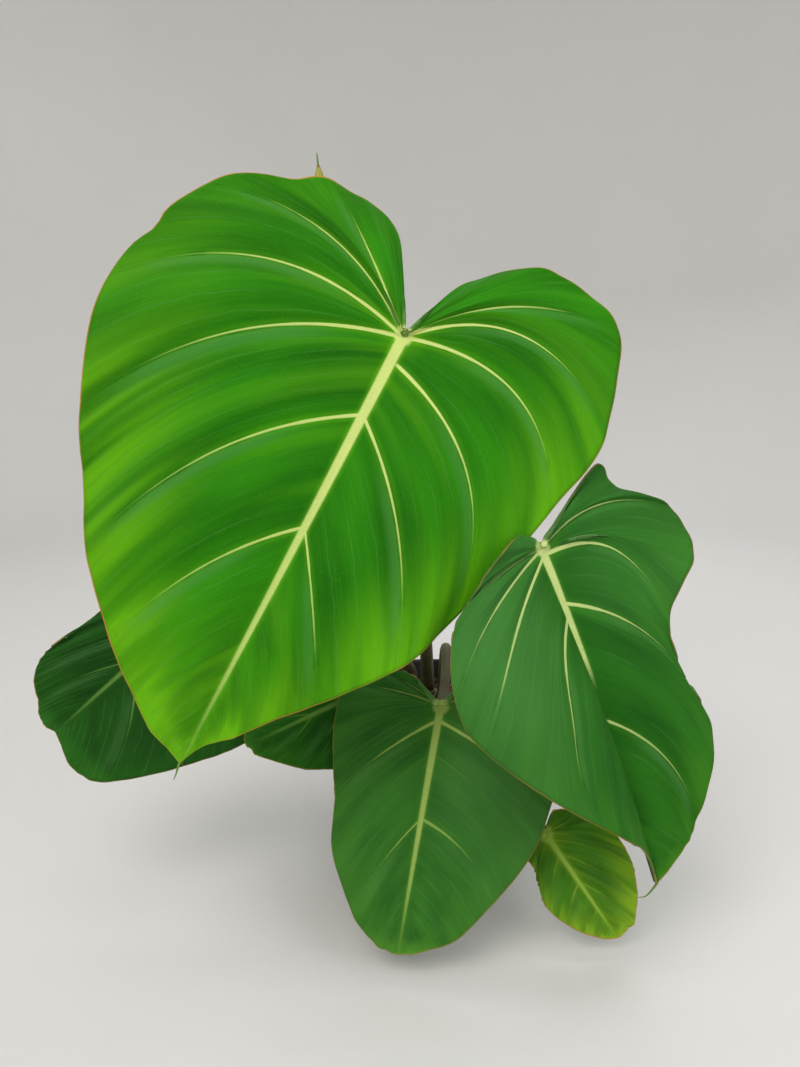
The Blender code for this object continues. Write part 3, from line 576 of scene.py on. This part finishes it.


# Each leaf's deep, fresh, lime and vein colours, how far its margin yellows, how much painted sage sheen
# its left and right halves carry, how far its main veins reach out and where its midrib ends, as shares,
# and the rows and rings of its mesh.
FINISHES = {
    "largest": ((0.0105, 0.115, 0.002), (0.027, 0.232, 0.003), (0.125, 0.41, 0.005), (0.66, 0.76, 0.24),
                1.0, (0, 0), 0.86, 1.3, 24, 40),
    "right": ((0.008, 0.084, 0.005), (0.023, 0.16, 0.009), (0.062, 0.24, 0.011), (0.6, 0.72, 0.26),
              0.4, (0.55, 0.3), 0.88, 0.37, 22, 38),
    "front": ((0.016, 0.098, 0.011), (0.041, 0.18, 0.019), (0.085, 0.27, 0.022), (0.42, 0.56, 0.13),
              0.3, (0.1, 0.45), 0.74, 1.3, 16, 32),
    "left": ((0.0075, 0.047, 0.006), (0.015, 0.096, 0.008), (0.028, 0.15, 0.012), (0.18, 0.33, 0.07),
             0.3, (0, 0), 0.75, 1.3, 12, 26),
    "lower_left": ((0.011, 0.072, 0.006), (0.024, 0.142, 0.008), (0.042, 0.21, 0.012), (0.18, 0.33, 0.07),
                   0.3, (0, 0), 0.75, 1.3, 12, 26),
    "small": ((0.036, 0.135, 0.008), (0.075, 0.25, 0.012), (0.25, 0.44, 0.016), (0.36, 0.55, 0.09),
              0.9, (0, 0), 0.7, 1.3, 12, 26),
}
# A blade's tip runs out in a dry thread: its course away from the tip (mm).
THREADS = {
    "largest": [(0, 0, 0.6), (-1.2, -0.3, -3), (-2.2, -0.3, -6), (-3.6, -0.2, -9)],
    "right": [(0, 0, 0.6), (-3, 0, -4.5), (-6.5, 0, -8.5), (-10.5, 0.5, -9.6)],
}
THREAD_RADIUS = 0.75 * MM
tan_rim = rim_material("blade_margin_tan", (0.3, 0.27, 0.04), (0.5, 0.23, 0.06))
olive_rim = rim_material("blade_margin_olive", (0.07, 0.13, 0.02), (0.26, 0.19, 0.05))


def add_thread(piece, course, rings, thinned):
    """Joins a dry thread to a piece. course is in metres, thinned is the part of its radius it loses."""
    last = len(course) - 1.0
    thread = tube_grid("thread", 10, rings, lambda share: smooth_row(course, np.array([share * last]))[0],
                       lambda share, angle: THREAD_RADIUS * (1 - thinned * share))
    thread.data.materials.append(tan_rim)
    piece.select_set(True)
    bpy.context.view_layer.objects.active = piece
    bpy.ops.object.join()


for number, (leaf_name, (deep, fresh, lime, vein, *habit, rows, rings)) in enumerate(FINISHES.items()):
    face_skin = blade_material("face_" + leaf_name, deep, fresh, lime, vein, *habit, seed=number * 7.3)
    paler = [blend(colour, (0.14, 0.26, 0.07), 0.45) for colour in (deep, fresh, lime)]
    back_skin = blade_material("back_" + leaf_name, *paler, vein, *habit, under=True, seed=number * 7.3)
    rim_skin = tan_rim if leaf_name == "largest" else olive_rim
    blade = make_blade(leaf_name, rows, rings, (face_skin, back_skin, rim_skin))
    if leaf_name in THREADS:
        leaf = LEAVES[leaf_name]
        tip = on_blade(leaf, np.zeros(1), np.array([leaf["length"] * MM]), np.zeros(1))[0]
        add_thread(blade, np.array(THREADS[leaf_name]) * MM + tip, 24, 0.8)

# Stalks. Each is a firm round stem, brown-green with pale flecks and fine ridges along it. It stands
# on a knob of the creeping stem and turns up into the blade's hub, where it swells a little.
STALK_HUB_RADIUS = 3.2 * MM
KNOB_TOP = 114 * MM
GAP = 0.3 * MM


def stalk_material():
    """Brown-green skin with fine fibres and pale flecks, greener upwards and bright green at the hub."""
    material, start = new_material("stalk_skin")
    wrap = start.node("UVMap", {"uv_map": "wrap"})
    around = start.node("SeparateXYZ", None, {0: wrap})
    up = start.node("SeparateXYZ", None, {0: wrap}, out=1)
    body = start.node("TexCoord", None, None, out=3)
    fibre = start.noise(start.node("CombineXYZ", None, {0: around * 46.0, 1: up * 5.0}), 1.0, 3.0, 0.6)
    flecks = start.noise(start.node("CombineXYZ", None, {0: around * 20.0, 1: up * 60.0}), 1.0, 2.0, 0.6)
    blotch = start.noise(body, 34.0, 3.0, 0.6)
    grain = start.noise(body, 800.0, 2.0)
    tone = fibre * 0.6 + blotch * 0.4
    colour = tone.step(0.32, 0.66).mix((0.07, 0.055, 0.02), (0.17, 0.145, 0.06))
    olive = up.step(0.2, 0.85) * blotch.step(0.3, 0.6) * 0.55
    colour = olive.mix(colour, (0.12, 0.16, 0.05))
    colour = (up.step(0.965, 0.99) * 0.85).mix(colour, (0.25, 0.42, 0.06))
    colour = (flecks.step(0.62, 0.72) * 0.45).mix(colour, (0.33, 0.3, 0.19))
    wire(start, colour, 0.55 + grain * 0.15, fibre * 0.6 + grain * 0.25 + flecks * 0.3, 0.00035,
         **sheen(0.06, (0.8, 0.7, 0.4), 0.4))
    return material


def stalk_line(leaf):
    """The stalk's middle line as a function of share, from the knob to the hub."""
    across, along, face = frame_of(leaf)
    lean = radians(leaf["approach"])
    arrival = face * cos(lean) + along * sin(lean)
    end = np.array(leaf["hub"]) * MM - face * (HUB_THICK + GAP + STALK_HUB_RADIUS * 0.5 * sin(lean))
    heading = np.array((sin(radians(leaf["base_lean"][0])), sin(radians(leaf["base_lean"][1])), 1.0))
    heading /= np.linalg.norm(heading)
    start = np.array((*leaf["base"], 0)) * MM + np.array((0, 0, KNOB_TOP)) + heading * GAP
    bend = start + heading * leaf["base_reach"] * MM
    late = end - arrival * leaf["hub_reach"] * MM
    return lambda share: (start * (1 - share) ** 3 + bend * 3 * (1 - share) ** 2 * share
                          + late * 3 * (1 - share) * share**2 + end * share**3)


def stalk_radius(leaf):
    """The stalk's radius as a function of share and angle: finely ridged, thicker at the foot."""
    foot = leaf["foot"] * MM

    def radius_at(share, angle):
        plain = STALK_HUB_RADIUS + (foot - STALK_HUB_RADIUS) * (1 - share) ** 1.5
        knuckle = 0.22 * np.exp(-(((share - 0.95) / 0.04) ** 2)) + 0.12 * np.exp(-((share / 0.03) ** 2))
        ridges = 0.022 * np.cos(9 * angle + leaf["seed"]) + 0.012 * np.cos(17 * angle)
        return plain * (0.97 + knuckle * 0.5 + ridges)

    return radius_at


stalk_skin = stalk_material()
for leaf_name, leaf in LEAVES.items():
    stalk = tube_grid("stem_" + leaf_name, 40, 90, stalk_line(leaf), stalk_radius(leaf))
    stalk.data.materials.append(stalk_skin)
    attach(stalk, "root")
    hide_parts("stalk_" + leaf_name)

# Rolled new leaf. The blade is still wound round itself into a slim spindle on its young stalk, with
# one free edge winding up it and a dry brown thread at the tip.
# Its middle line (mm), and its radius (mm) at places along that line, counted in its points.
ROLLED_PATH = [(-40, 6, 116), (-47, 6, 200), (-60, -8, 320), (-70, -30, 400), (-74, -40, 470)]
ROLLED_PLACES = [0, 1, 2, 3, 3.6, 3.88, 4]
ROLLED_RADII = [4.3, 3.6, 3.4, 7.0, 4.4, 2.4, 0.6]
ROLLED_TURNS = 0.7
ROLLED_THREAD = [(-74, -40, 469), (-74.6, -41, 476.5)]


def rolled_material():
    """Olive on the stalk, yellow-olive on the wound blade, with a brown line along its free edge."""
    material, start = new_material("rolled_skin")
    wrap = start.node("UVMap", {"uv_map": "wrap"})
    around = start.node("SeparateXYZ", None, {0: wrap})
    up = start.node("SeparateXYZ", None, {0: wrap}, out=1)
    body = start.node("TexCoord", None, None, out=3)
    fibre = start.noise(start.node("CombineXYZ", None, {0: around * 40.0, 1: up * 6.0}), 1.0, 3.0, 0.6)
    blotch = start.noise(body, 40.0, 3.0)
    winding = around + up * ROLLED_TURNS
    edge = winding.maths("FRACT", winding)
    edge = edge.step(0.9, 0.97) * edge.step(1.0, 0.97) * up.step(0.5, 0.6)
    colour = fibre.step(0.3, 0.7).mix((0.2, 0.23, 0.02), (0.5, 0.46, 0.06))
    colour = (up.step(0.45, 0.2) * 0.8).mix(colour, fibre.mix((0.07, 0.055, 0.022), (0.17, 0.14, 0.06)))
    colour = (edge * 0.7).mix(colour, (0.2, 0.07, 0.02))
    colour = (blotch.step(0.6, 0.75) * 0.35).mix(colour, (0.2, 0.12, 0.03))
    colour = up.step(0.985, 0.998).mix(colour, (0.16, 0.06, 0.015))
    wire(start, colour, 0.5 + fibre * 0.15, fibre, 0.0004)
    return material


def rolled_line(share):
    return smooth_row(ROLLED_PATH, np.array([share * 4.0]))[0] * MM


def rolled_radius(share, angle):
    """Round on the stalk, stepped where the free edge winds up the spindle."""
    plain = np.interp(share * 4, ROLLED_PLACES, ROLLED_RADII) * MM
    winding = (angle / tau + ROLLED_TURNS * share) % 1
    rolled = np.clip((share - 0.5) * 8, 0, 1)
    ribs = 0.03 * np.cos(8 * angle - 10 * share) * rolled
    return plain * (1 + 0.14 * np.minimum(winding, (1 - winding) * 12) * rolled + ribs)


rolled = tube_grid("rolled_new_leaf", 56, 160, rolled_line, rolled_radius)
rolled.data.materials.append(rolled_material())
add_thread(rolled, np.array(ROLLED_THREAD) * MM, 12, 0.6)
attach(rolled, "root")
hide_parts("rolled_leaf")

# Sheath. The dry papery wrapper of the new leaf, brown and brittle, is split down its front and stands
# loose on the growing tip, with a torn upper edge.
SHEATH_TALL = 48 * MM
SHEATH_WALL = 0.6 * MM
# Radius at its foot and how much it widens upwards (mm), how far it wraps at its foot and how much of
# that it loses upwards (degrees).
SHEATH_RADIUS = 5.75
SHEATH_FLARE = 3.2
SHEATH_WRAP = 230
SHEATH_OPENING = 150


def sheath_material():
    """Dry brown paper with long fibres and dark stains."""
    material, start = new_material("dry_sheath")
    body = start.node("TexCoord", None, None, out=3)
    long_way = start.node("Mapping", None, {"Vector": body, "Scale": (1.0, 1.0, 0.12)})
    fibre = start.noise(long_way, 1300.0, 3.0, 0.65)
    stain = start.noise(long_way, 160.0, 3.0, 0.6)
    colour = fibre.step(0.3, 0.7).mix((0.2, 0.1, 0.04), (0.46, 0.31, 0.16))
    colour = (stain.step(0.5, 0.7) * 0.6).mix(colour, (0.09, 0.045, 0.02))
    wire(start, colour, 0.62 + fibre * 0.2, fibre, 0.0005)
    return material


def sheath_place(piece, x, y):
    """Places on the sheath: a split tube round the new leaf's foot, crinkled, torn at the top."""
    along = smooth_row(ROLLED_PATH, np.array([0.1]))[0] - ROLLED_PATH[0]
    along /= np.linalg.norm(along)
    origin = np.array(ROLLED_PATH[0]) * MM + along * GAP
    across = np.array((-0.5, 1, 0)) - along * (np.array((-0.5, 1, 0)) @ along)
    across /= np.linalg.norm(across)
    beside = np.cross(along, across)
    share = (y + 1) / 2
    angle = x / 2 * np.radians(SHEATH_WRAP - SHEATH_OPENING * share**2)
    crinkle = 0.25 * np.sin(9 * angle + 5 * share) * share + 0.15 * np.sin(23 * angle + 2)
    reach = (SHEATH_RADIUS + SHEATH_FLARE * share**1.6 + crinkle * 0.5) * MM
    torn = 1 - 0.05 * np.abs(x) * share - 0.035 * (1 + np.sin(17 * x) * np.sin(41 * x + 1)) * share**6
    level = (share * SHEATH_TALL * torn)[:, None]
    return (origin + along * level + across * (np.cos(angle) * reach)[:, None]
            + beside * (np.sin(angle) * reach)[:, None])


sheath = grid_sheet("sheath_paper", 56, 60, sheath_place)
wall = sheath.modifiers.new("wall", "SOLIDIFY")
wall.thickness = SHEATH_WALL
wall.offset = 1
bpy.ops.object.modifier_apply(modifier="wall")
bpy.ops.object.mode_set(mode="EDIT")
bpy.ops.mesh.select_all(action="SELECT")
bpy.ops.mesh.normals_make_consistent(inside=False)
bpy.ops.object.mode_set(mode="OBJECT")
sheath.data.materials.append(sheath_material())
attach(sheath, "root")
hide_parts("sheath")

# Creeping stem. A thick ringed stem that lies half sunk in the mix. Each stalk stands on its own
# short knob, and the rings between the knobs are the scars of old leaves.
STEM_PATH = [(40, -6, 98), (22, -3, 101), (2, 2, 102), (-18, 1, 102), (-38, 5, 103)]
STEM_RADIUS = 9.3 * MM
KNOB_DEEP = 12 * MM
KNOB_EDGE = 1.2
ROLLED_KNOB_RADIUS = 7.4
VOXEL = 0.6 * MM


def stem_material():
    """Brown bark with pale fibres, greener towards the growing tip."""
    material, start = new_material("stem_bark")
    body = start.node("TexCoord", None, None, out=3)
    bark = start.noise(body, 170.0, 4.0, 0.65)
    long_way = start.node("Mapping", None, {"Vector": body, "Scale": (3.0, 1.0, 1.0)})
    fibre = start.noise(long_way, 420.0, 3.0, 0.6)
    age = start.node("SeparateXYZ", None, {0: body}).step(0.03, -0.045)
    colour = bark.step(0.35, 0.65).mix((0.07, 0.045, 0.02), (0.2, 0.15, 0.07))
    colour = (age * bark.step(0.25, 0.55) * 0.75).mix(colour, (0.1, 0.16, 0.035))
    colour = (fibre.step(0.58, 0.7) * 0.5).mix(colour, (0.3, 0.24, 0.14))
    wire(start, colour, 0.6 + bark * 0.2, bark * 0.6 + fibre * 0.4, 0.0009)
    return material


def stem_radius(share, angle):
    """Raised ring scars, each with a groove beside it, and rounded ends."""
    ring = np.abs((share * 7 + 0.5) % 1 - 0.5)
    scar = 0.06 * np.exp(-((ring / 0.07) ** 2)) - 0.04 * np.exp(-(((ring - 0.14) / 0.06) ** 2))
    ends = np.sqrt(np.clip(1 - np.clip((share - 0.86) / 0.16, 0, 1) ** 2, 0.05, 1))
    ends = ends * np.sqrt(np.clip(1 - np.clip((0.08 - share) / 0.1, 0, 1) ** 2, 0.05, 1))
    return STEM_RADIUS * (1 + scar) * ends


def straight(low, high):
    """A straight middle line for tube_grid."""
    return lambda share: low * (1 - share) + high * share


# Each knob's top, heading and radius (mm).
knobs = []
for leaf in LEAVES.values():
    lean = np.radians(leaf["base_lean"])
    top = np.array((*leaf["base"], 0)) * MM + np.array((0, 0, KNOB_TOP))
    knobs.append((top, np.array((*np.sin(lean), 1)), leaf["foot"] + KNOB_EDGE))
heading = smooth_row(ROLLED_PATH, np.array([0.1]))[0] - ROLLED_PATH[0]
knobs.append((np.array(ROLLED_PATH[0]) * MM, heading, ROLLED_KNOB_RADIUS))
parts = [tube_grid("creeping_body", 64, 160,
                   lambda share: smooth_row(STEM_PATH, np.array([share * 4.0]))[0] * MM, stem_radius)]
for top, heading, radius in knobs:
    heading = heading / np.linalg.norm(heading)
    parts.append(tube_grid(
        "knob", 40, 16, straight(top - heading * KNOB_DEEP, top),
        lambda share, angle, wide=radius * MM: wide * (1.15 - 0.15 * share)))
stem = parts[0]
for part in parts:
    part.select_set(True)
bpy.context.view_layer.objects.active = stem
bpy.ops.object.join()
merge = stem.modifiers.new("merge", "REMESH")
merge.mode = "VOXEL"
merge.voxel_size = VOXEL
bpy.ops.object.modifier_apply(modifier="merge")
soften = stem.modifiers.new("soften", "SMOOTH")
soften.factor = 0.5
soften.iterations = 3
bpy.ops.object.modifier_apply(modifier="soften")
points, normals = np.empty((2, len(stem.data.vertices) * 3))
stem.data.vertices.foreach_get("co", points)
stem.data.vertices.foreach_get("normal", normals)
points = points.reshape(-1, 3)
rough = [noise.noise(Vector(point) * 420) * 0.28 + noise.noise(Vector(point) * 1100) * 0.14
         for point in points]
rough = np.array(rough) * (points[:, 2] < KNOB_TOP - 2 * MM) * MM
stem.data.vertices.foreach_set("co", (points + normals.reshape(-1, 3) * rough[:, None]).ravel())
stem.data.update()
bpy.ops.object.shade_smooth()
stem.data.materials.append(stem_material())
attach(stem, "root")
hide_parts("creeping_stem")

# Potting mix. A dark, open mix of bark and fibre with a few white grains fills the pot to just under
# its collar, hollowed where the stem lies. Loose chips and grains lie on top of it.
MIX_TOP = 100.5 * MM
MIX_LOW = 3.2 * MM
MIX_RADIUS = 56.5 * MM
MIX_FOOT_RADIUS = 44 * MM
MIX_SHOULDER = 94 * MM
STEM_LINE = smooth_row(STEM_PATH, np.linspace(0, 3.999, 60)) * MM


def mix_height(x, y):
    """Height of the mix's top at a place, lumpy, lower at the wall and hollowed under the stem."""
    out = np.hypot(x, y) / MIX_RADIUS
    lump = noise.noise(Vector((x * 90, y * 90, 3))) * 2.2 + noise.noise(Vector((x * 320, y * 320, 7))) * 1.1
    level = MIX_TOP - 4 * MM * out**4 + lump * MM * min(1, 4 * (1 - out))
    away = np.hypot(STEM_LINE[:, 0] - x, STEM_LINE[:, 1] - y)
    nearest = away.argmin()
    hollow = STEM_RADIUS * 1.12 + 0.4 * MM
    if away[nearest] < hollow:
        level = min(level, STEM_LINE[nearest, 2] - np.sqrt(hollow**2 - away[nearest] ** 2))
    return level


def mix_material(name, dark, light):
    """Crumbs of many tones with a fibrous grain."""
    material, start = new_material(name)
    body = start.node("TexCoord", None, None, out=3)
    crumb = start.node("TexVoronoi", None, {"Vector": body, "Scale": 420.0})
    tint = start.node("TexVoronoi", None, {"Vector": body, "Scale": 420.0}, out=1)
    fibre = start.noise(body, 900.0, 3.0, 0.65)
    mixed = start.node("SeparateColor", None, {0: tint})
    colour = (mixed * 0.6 + fibre * 0.4).step(0.25, 0.75).mix(dark, light)
    wire(start, colour, 0.85 + fibre * 0.1, fibre * 0.5 - crumb * 0.8, 0.0012)
    return material


def mix_place(piece, x, y):
    """Places on the mix: its flat floor, its sloping wall and its lumpy top, out of one grid."""
    angle, share = x * pi, (y + 1) / 2
    angle = np.where(angle > pi - 1e-6, -pi, angle)
    wall_share, top_share = 0.12, 0.2  # where the mesh's rows turn from floor to wall, and to the top
    points = []
    for turn, up in zip(angle, share):
        if up < wall_share:
            radius, level = MIX_FOOT_RADIUS * up / wall_share, MIX_LOW
        elif up < top_share:
            rise = (up - wall_share) / (top_share - wall_share)
            radius = MIX_FOOT_RADIUS + (MIX_RADIUS - MIX_FOOT_RADIUS) * rise
            level = MIX_LOW + (MIX_SHOULDER - MIX_LOW) * rise
        else:
            radius = MIX_RADIUS * (1 - up) / (1 - top_share)
            level = mix_height(radius * cos(turn), radius * sin(turn))
        points.append((radius * cos(turn), radius * sin(turn), level))
    return np.array(points)


mix = grid_sheet("potting_mix", 200, 110, mix_place)
mix.data.materials.append(mix_material("potting_crumb", (0.012, 0.008, 0.005), (0.085, 0.055, 0.033)))
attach(mix, "root")
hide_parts("soil")

# What lies loose on the mix: piece, how many, least and greatest size (mm), height for its width, skin.
LOOSE = (
    ("bark_chips", 90, 2.0, 4.6, 0.45, mix_material("bark_chip", (0.05, 0.026, 0.012), (0.22, 0.12, 0.06))),
    ("white_grains", 46, 0.9, 2.0, 0.8, mix_material("white_grain", (0.42, 0.41, 0.37), (0.75, 0.74, 0.7))),
)
LOOSE_RADIUS = MIX_RADIUS - 4 * MM
LOOSE_CLEAR = 1.5 * MM
draw = random.Random(11)
bpy.ops.object.select_all(action="DESELECT")
bpy.ops.mesh.primitive_ico_sphere_add(subdivisions=2, radius=1)
lump = bpy.context.object
for name, count, smallest, largest, flatness, skin in LOOSE:
    made = []
    while len(made) < count:
        spot = Vector((draw.uniform(-1, 1), draw.uniform(-1, 1))) * LOOSE_RADIUS
        clear = np.hypot(STEM_LINE[:, 0] - spot.x, STEM_LINE[:, 1] - spot.y).min()
        size = draw.uniform(smallest, largest) * MM
        if spot.length > LOOSE_RADIUS or clear < STEM_RADIUS + size + LOOSE_CLEAR:
            continue
        place = Vector((spot.x, spot.y, mix_height(spot.x, spot.y) + size * flatness * 0.35))
        bit = lump.copy()
        bit.data = lump.data.copy()
        bpy.context.scene.collection.objects.link(bit)
        turned = Euler((draw.uniform(-0.4, 0.4), draw.uniform(-0.4, 0.4), draw.uniform(0, tau))).to_matrix()
        long_side, seed = draw.uniform(0.5, 0.9), draw.uniform(0, 40)
        for vertex in bit.data.vertices:
            bump = 1 + 0.3 * noise.noise(vertex.co * 1.6 + Vector((seed, 0, 0)))
            shaped = Vector((vertex.co.x, vertex.co.y * long_side, vertex.co.z * flatness)) * bump * size
            vertex.co = turned @ shaped + place
        made.append(bit)
    bpy.ops.object.select_all(action="DESELECT")
    for bit in made:
        bit.select_set(True)
    bits = made[0]
    bpy.context.view_layer.objects.active = bits
    bpy.ops.object.join()
    bits.name = bits.data.name = name
    bits.data.materials.append(skin)
    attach(bits, "root")
bpy.data.objects.remove(lump)

# Pot. A thin moulded nursery pot of black plastic with a stepped collar, a rolled rim and six drain
# holes in its base. It stands on its own and holds the mix.
POT_TALL = 115 * MM
RIM_RADIUS = 65 * MM
FOOT_RADIUS = 46 * MM
POT_WALL = 1.3 * MM
DRAIN_HOLES = 6
DRAIN_RADIUS = 5 * MM
DRAIN_RING = 30 * MM
POT_EDGE = 0.25 * MM
BASE_RADIUS = FOOT_RADIUS - 1.5 * MM
# The pot's outline from the edge of its base, up outside, over the rim and down inside: radius, level.
OUTLINE = [
    (FOOT_RADIUS, 1.5 * MM), (RIM_RADIUS - 5 * MM, POT_TALL - 17 * MM),
    (RIM_RADIUS - 3.2 * MM, POT_TALL - 15.5 * MM), (RIM_RADIUS - 2.2 * MM, POT_TALL - 4 * MM),
    (RIM_RADIUS, POT_TALL - 3 * MM), (RIM_RADIUS, POT_TALL - 0.8 * MM), (RIM_RADIUS - 1 * MM, POT_TALL),
    (RIM_RADIUS - 2.6 * MM, POT_TALL), (RIM_RADIUS - 3.5 * MM, POT_TALL - 1.5 * MM),
    (RIM_RADIUS - 3.2 * MM - POT_WALL, POT_TALL - 15 * MM),
    (RIM_RADIUS - 5 * MM - POT_WALL, POT_TALL - 17 * MM), (FOOT_RADIUS - POT_WALL, 2.6 * MM),
    (FOOT_RADIUS - 2.2 * MM - POT_WALL, 1.8 * MM),
]


def pot_material():
    """Black plastic: fine moulded grain, drag marks up the wall, dried splashes of mix low down."""
    material, start = new_material("pot_plastic")
    body = start.node("TexCoord", None, None, out=3)
    grain = start.noise(body, 1500.0, 2.0, 0.6)
    upright = start.node("Mapping", None, {"Vector": body, "Scale": (1.0, 1.0, 0.06)})
    drag = start.noise(upright, 700.0, 3.0, 0.6)
    dust = start.noise(body, 55.0, 4.0, 0.65)
    level = start.node("SeparateXYZ", None, {0: body}, out=2)
    low = level.step(0.045, 0.0)
    scuff = dust.step(0.56, 0.7) * 0.35 + low * dust.step(0.45, 0.65) * 0.4
    colour = drag.step(0.3, 0.7).mix((0.011, 0.011, 0.012), (0.026, 0.026, 0.028))
    colour = scuff.mix(colour, (0.12, 0.1, 0.08))
    wire(start, colour, 0.36 + drag * 0.16 + scuff * 0.35, grain * 0.5 + drag * 0.5, 0.00025)
    return material


bpy.ops.object.select_all(action="DESELECT")
bpy.ops.mesh.primitive_circle_add(vertices=120, radius=BASE_RADIUS, fill_type="NGON")
pot = bpy.context.object
pot.name = pot.data.name = "nursery_pot"
bpy.ops.object.mode_set(mode="EDIT")
bpy.ops.mesh.select_mode(type="EDGE")
bpy.ops.mesh.select_all(action="SELECT")
radius, level = BASE_RADIUS, 0.0
for wider, higher in OUTLINE:
    bpy.ops.mesh.extrude_edges_move(TRANSFORM_OT_translate={"value": (0, 0, higher - level)})
    bpy.ops.transform.resize(value=(wider / radius, wider / radius, 1), center_override=(0, 0, higher))
    radius, level = wider, higher
bpy.ops.mesh.edge_face_add()
bpy.ops.mesh.select_all(action="SELECT")
bpy.ops.mesh.normals_make_consistent(inside=False)
bpy.ops.object.mode_set(mode="OBJECT")
for number in range(DRAIN_HOLES):
    angle = tau * (number + 0.5) / DRAIN_HOLES
    place = (DRAIN_RING * cos(angle), DRAIN_RING * sin(angle), 0)
    bpy.ops.object.select_all(action="DESELECT")
    bpy.ops.mesh.primitive_cylinder_add(vertices=40, radius=DRAIN_RADIUS, depth=10 * MM, location=place)
    drill = bpy.context.object
    hole = pot.modifiers.new("hole", "BOOLEAN")
    hole.operation, hole.solver, hole.object = "DIFFERENCE", "EXACT", drill
    bpy.context.view_layer.objects.active = pot
    bpy.ops.object.modifier_apply(modifier="hole")
    bpy.data.objects.remove(drill)
soft_edge = pot.modifiers.new("soft_edge", "BEVEL")
soft_edge.width = POT_EDGE
soft_edge.segments = 2
soft_edge.limit_method = "ANGLE"
soft_edge.angle_limit = radians(25)
bpy.ops.object.modifier_apply(modifier="soft_edge")
pot.select_set(True)
bpy.ops.object.shade_smooth_by_angle(angle=radians(35))
pot.data.materials.clear()
pot.data.materials.append(pot_material())
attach(pot, "root")
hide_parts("pot")

# Stage: a plain pale floor that curves up into a wall all round, soft light and the camera, which
# looks slightly down at the plant from the front. Sizes and places here are in metres.
FLOOR_REACH = 1.3
COVE_RADIUS = 0.6
WALL_TALL = 3.0
COVE_RUN = FLOOR_REACH + COVE_RADIUS * pi / 2 + WALL_TALL - COVE_RADIUS
FLOOR_LEVEL = -0.0002
LIT_PLACE = Vector((0, -0.05, 0.25))
# Each lamp's name, place, size, power (W) and colour.
LAMPS = (
    ("key", (-0.55, -1.1, 1.55), 1.0, 16.5, (1, 0.98, 0.95)),
    ("fill", (1.0, -0.85, 1.0), 1.0, 5.2, (0.97, 0.99, 1)),
    ("over", (0.0, 0.1, 2.0), 1.5, 10.4, (1, 1, 1)),
    ("behind", (0.5, 1.2, 1.3), 1.0, 6, (1, 1, 1)),
)


def cove_place(piece, x, y):
    """Places on the floor, the curve and the wall, out of one grid: x goes round, y runs outwards."""
    angle, run = x * pi, (y + 1) / 2 * COVE_RUN
    turned = np.clip((run - FLOOR_REACH) / COVE_RADIUS, 0, pi / 2)
    radius = np.minimum(run, FLOOR_REACH) + COVE_RADIUS * np.sin(turned)
    level = COVE_RADIUS * (1 - np.cos(turned))
    level = level + np.clip(run - FLOOR_REACH - COVE_RADIUS * pi / 2, 0, WALL_TALL - COVE_RADIUS)
    return np.stack([radius * np.cos(angle), radius * np.sin(angle), level + FLOOR_LEVEL], 1)


backdrop = grid_sheet("backdrop", 96, 60, cove_place)
paper, start = new_material("backdrop_paper")
body = start.node("TexCoord", None, None, out=3)
wire(start, start.noise(body, 3.0, 2.0).mix((0.66, 0.65, 0.63), (0.7, 0.69, 0.67)), 0.9,
     start.noise(body, 60.0, 4.0), 0.0005)
backdrop.data.materials.append(paper)

for name, place, size, power, colour in LAMPS:
    lamp = bpy.data.objects.new(name, bpy.data.lights.new(name, "AREA"))
    lamp.data.energy = power
    lamp.data.size = size
    lamp.data.color = colour
    lamp.visible_camera = False
    lamp.location = place
    lamp.rotation_euler = (Vector(place) - LIT_PLACE).to_track_quat("Z", "Y").to_euler()
    bpy.context.scene.collection.objects.link(lamp)
world = bpy.data.worlds.new("studio")
world.use_nodes = True
sky = world.node_tree.nodes["Background"].inputs
sky["Color"].default_value = (0.9, 0.93, 1, 1)
sky["Strength"].default_value = 0.3
bpy.context.scene.world = world
bpy.context.scene.view_settings.view_transform = "Standard"

camera = bpy.data.objects.new("camera", bpy.data.cameras.new("camera"))
camera.data.lens = 27.06
camera.data.sensor_width = 36
camera.data.clip_start = 0.01
camera.location = (-0.0246, -0.56, 0.353)
camera.rotation_euler = (radians(78), 0, 0)
bpy.context.scene.collection.objects.link(camera)
bpy.context.scene.camera = camera
